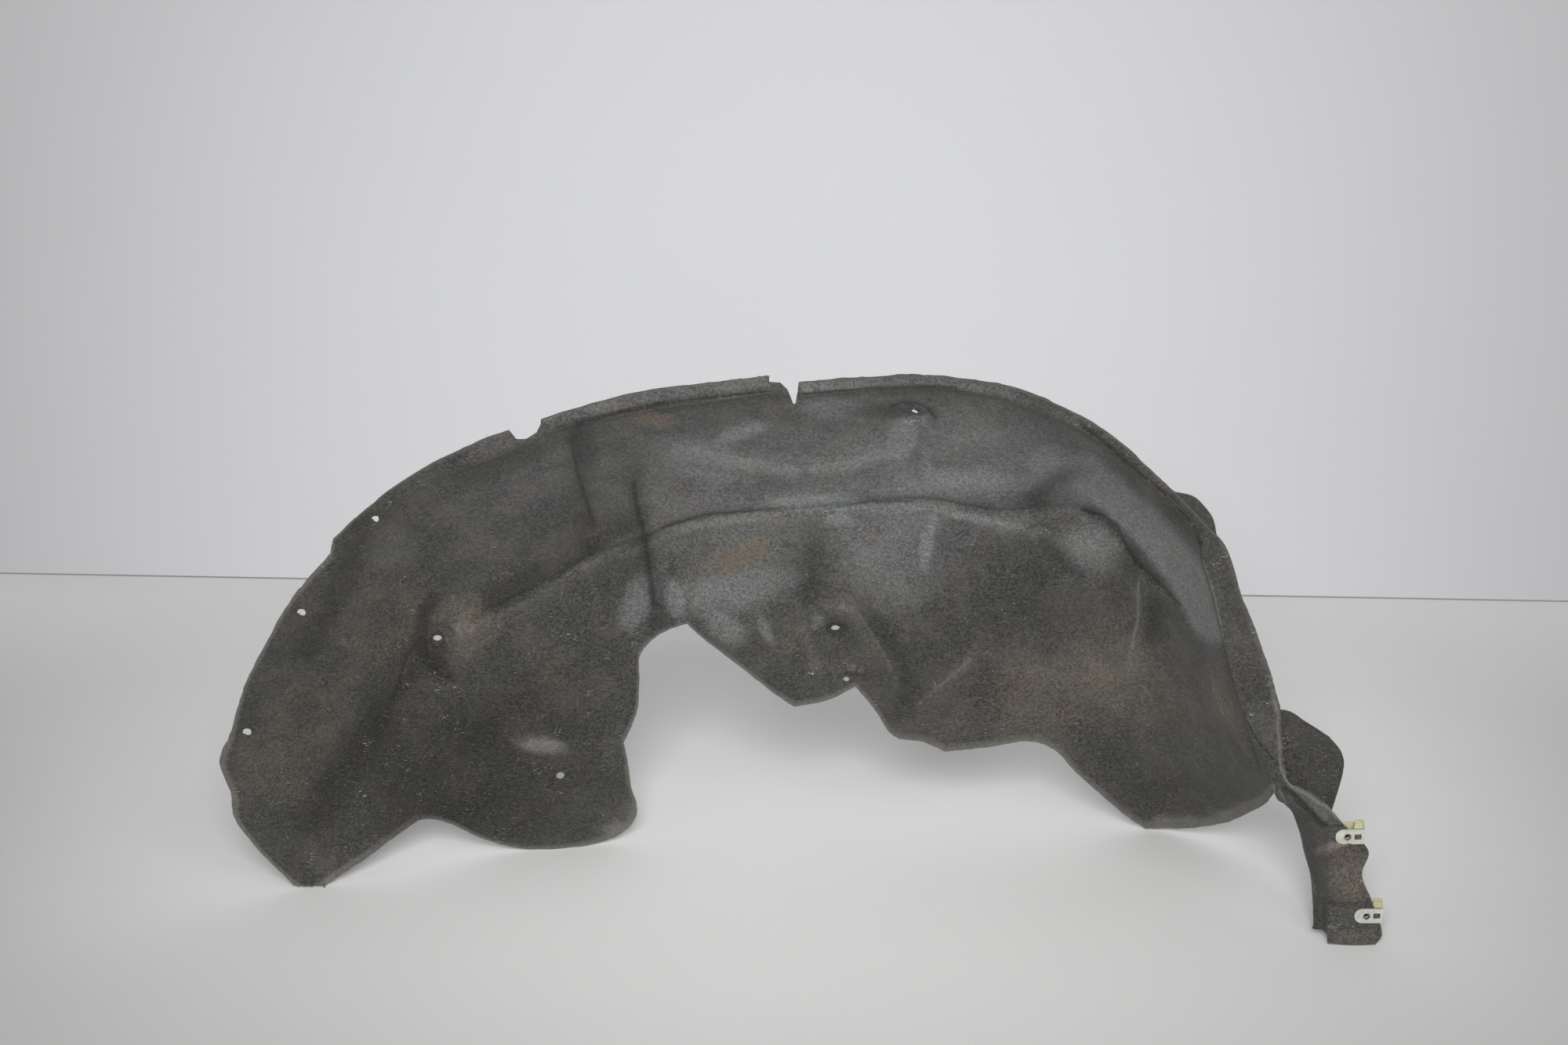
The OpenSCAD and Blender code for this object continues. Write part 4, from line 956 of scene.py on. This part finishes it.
def edge_fibres(count_per_mm=0.9):
    verts, faces = [], []
    fibre_rng = np.random.default_rng(21)
    for rim, centre in zip(rims, (shell_grid, tail_grid, flap_grid, ear_grid)):
        inner = centre.reshape(-1, 3)
        tree = point_tree(inner)
        steps = np.linalg.norm(np.diff(rim, axis=0), axis=1)
        for k in np.flatnonzero(fibre_rng.random(len(steps)) < steps * count_per_mm):
            if steps[k] > EDGE_STEPS[1] or steps[k] < EDGE_STEPS[0]:
                continue
            start = rim[k] + (rim[k + 1] - rim[k]) * fibre_rng.random()
            near_points = np.mean([inner[i] for _, i, _ in tree.find_n(Vector(start), 40)], axis=0)
            out = start - near_points
            out /= np.linalg.norm(out) + 1e-9
            way = out * fibre_rng.uniform(0.3, 1.0) + fibre_rng.normal(0, 0.75, 3)
            way /= np.linalg.norm(way)
            curl = fibre_rng.normal(0, 0.8, 3)
            length = fibre_rng.gamma(2.2, 0.85)
            start = start + [0, fibre_rng.uniform(0.2, 2.6), 0] - out * 0.4
            side = np.cross(way, curl)
            side /= np.linalg.norm(side) + 1e-9
            up = np.cross(side, way)
            base = len(verts)
            for r in range(FIBRE_ROWS):
                t = r / (FIBRE_ROWS - 1)
                middle = start + way * length * t + curl * length * FIBRE_BEND * t * t
                wide = FIBRE_R * (1 - FIBRE_TAPER * t)
                for a in (0, 2.1, 4.2):
                    verts.append((middle + (side * math.cos(a) + up * math.sin(a)) * wide - MID) * MM)
            for r in range(FIBRE_ROWS - 1):
                for a in range(3):
                    b = (a + 1) % 3
                    faces.append((base + 3 * r + a, base + 3 * r + b, base + 3 * r + 3 + b, base + 3 * r + 3 + a))
            faces.append((base, base + 2, base + 1))
            faces.append(tuple(range(len(verts) - 3, len(verts))))
    verts = [(v[0], v[1], max(v[2], 0.0)) for v in verts]
    return new_mesh("felt_edge_fibres", verts, faces)


def fibre_material():
    n = Nodes("loose_fibre")
    n.put(n.shader.inputs["Base Color"], n.mix(n.ramp(n.noise(150.0, 2.0, 0.5), 0.4, 0.6), rgb(0.10, 0.095, 0.085),
                                               rgb(0.22, 0.21, 0.185)))
    n.shader.inputs["Roughness"].default_value = 0.8
    return n.material


fibres = edge_fibres()
fibres.data.materials.append(fibre_material())
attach(fibres, "root")


# Camera, at the photograph's own place and angle
camera_data = bpy.data.cameras.new("camera")
camera_data.sensor_width, camera_data.lens = 36.0, 36.0 * FOCAL_PX / WIDE
camera_data.clip_start, camera_data.clip_end = 0.05, 50.0
camera = bpy.data.objects.new("camera", camera_data)
camera.location = (np.array([0.0, -CAM_D, CAM_H]) - MID) * MM
camera.rotation_euler = (math.pi / 2 - CAM_PITCH, 0, 0)
bpy.context.scene.collection.objects.link(camera)
bpy.context.scene.camera = camera


def plain(name, colour, spread, scale, centre=(0, 0, 0), reach=(0.2, 1.6), fall=0.0, near=None):
    """A pale painted surface with a faint unevenness, and painted light falloff: darker away from its centre."""
    n = Nodes(name)
    uneven = n.ramp(n.noise(scale, 4.0, 0.6), 0.3, 0.7)
    off = n.add("ShaderNodeVectorMath", {0: n.place, 1: centre}, operation="SUBTRACT").outputs["Vector"]
    away = n.add("ShaderNodeVectorMath", {0: off}, operation="LENGTH").outputs["Value"]
    # Painted light falloff: the colour darkens away from the centre
    outer = n.times(n.ramp(away, *reach), fall)
    if near:
        split = n.add("ShaderNodeSeparateXYZ", {"Vector": n.place})
        outer = n.times(outer, n.ramp(n.times(split.outputs["Y"], -1.0), *near))
    base = n.mix(outer, rgb(*colour), rgb(0.0, 0.0, 0.0))
    n.put(n.shader.inputs["Base Color"], n.mix(n.times(uneven, spread), base, rgb(0.3, 0.3, 0.3)))
    n.shader.inputs["Roughness"].default_value = 0.85
    n.shader.inputs["Specular IOR Level"].default_value = 0.2
    return n.material


WALL_LEFT, WALL_RIGHT, WALL_TOP, GAP_TOP = (-1.072, 1.133), (1.026, 1.002), 5, 0.002
WALL_PAST, FLOOR_DEEP = 4, 9
shift = Vector((-MID[0] * MM, -MID[1] * MM))
left, right = Vector(WALL_LEFT) + shift, Vector(WALL_RIGHT) + shift
wall_way = (right - left).normalized()
far_left, far_right = left - wall_way * WALL_PAST, right + wall_way * WALL_PAST
toward = Vector((wall_way.y, -wall_way.x)) * FLOOR_DEEP
floor = new_mesh("floor", [(*far_left, 0), (*(far_left + toward), 0), (*(far_right + toward), 0), (*far_right, 0)],
                 [(0, 1, 2, 3)])
wall = new_mesh("wall", [(*far_left, GAP_TOP), (*far_right, GAP_TOP), (*far_right, WALL_TOP), (*far_left, WALL_TOP)],
                [(0, 1, 2, 3)])
# A dark strip at the foot of the wall: painted shade in the corner of floor and wall
gap = new_mesh("gap", [(*far_left, 0), (*far_right, 0), (*far_right, GAP_TOP), (*far_left, GAP_TOP)], [(0, 1, 2, 3)])
for surface, paint in (
        (floor, ("floor_paint_and_shade", (0.875, 0.87, 0.865), 0.03, 3, (0, 0.48, 0), (0.5, 1.1), 0.45, (-0.95, -0.15))),
        (wall, ("wall_paint_and_shade", (0.805, 0.81, 0.825), 0.02, 2, (-0.06, 1, 0.29), (0.17, 1.57), 0.36)),
        (gap, ("gap_shadow", (0.32, 0.32, 0.32), 0.1, 30))):
    surface.data.materials.append(plain(*paint))


def area_light(name, place, aim, size, power):
    data = bpy.data.lights.new(name, "AREA")
    data.shape, data.size, data.energy = "DISK", size, power
    obj = bpy.data.objects.new(name, data)
    obj.location = place
    obj.rotation_euler = (Vector(aim) - Vector(place)).to_track_quat("-Z", "Y").to_euler()
    bpy.context.scene.collection.objects.link(obj)


area_light("key", (-0.05, -2.2, 1.35), (0, 0, 0.3), 0.9, 54)
area_light("fill", (0.9, -2.0, 1.7), (0, 0, 0.3), 1.2, 9)
world = bpy.data.worlds.new("studio")
world.use_nodes = True
world.node_tree.nodes["Background"].inputs["Color"].default_value = rgb(1.0, 1.0, 1.0)
world.node_tree.nodes["Background"].inputs["Strength"].default_value = 0.29
bpy.context.scene.world = world
bpy.context.scene.view_settings.view_transform = "Standard"
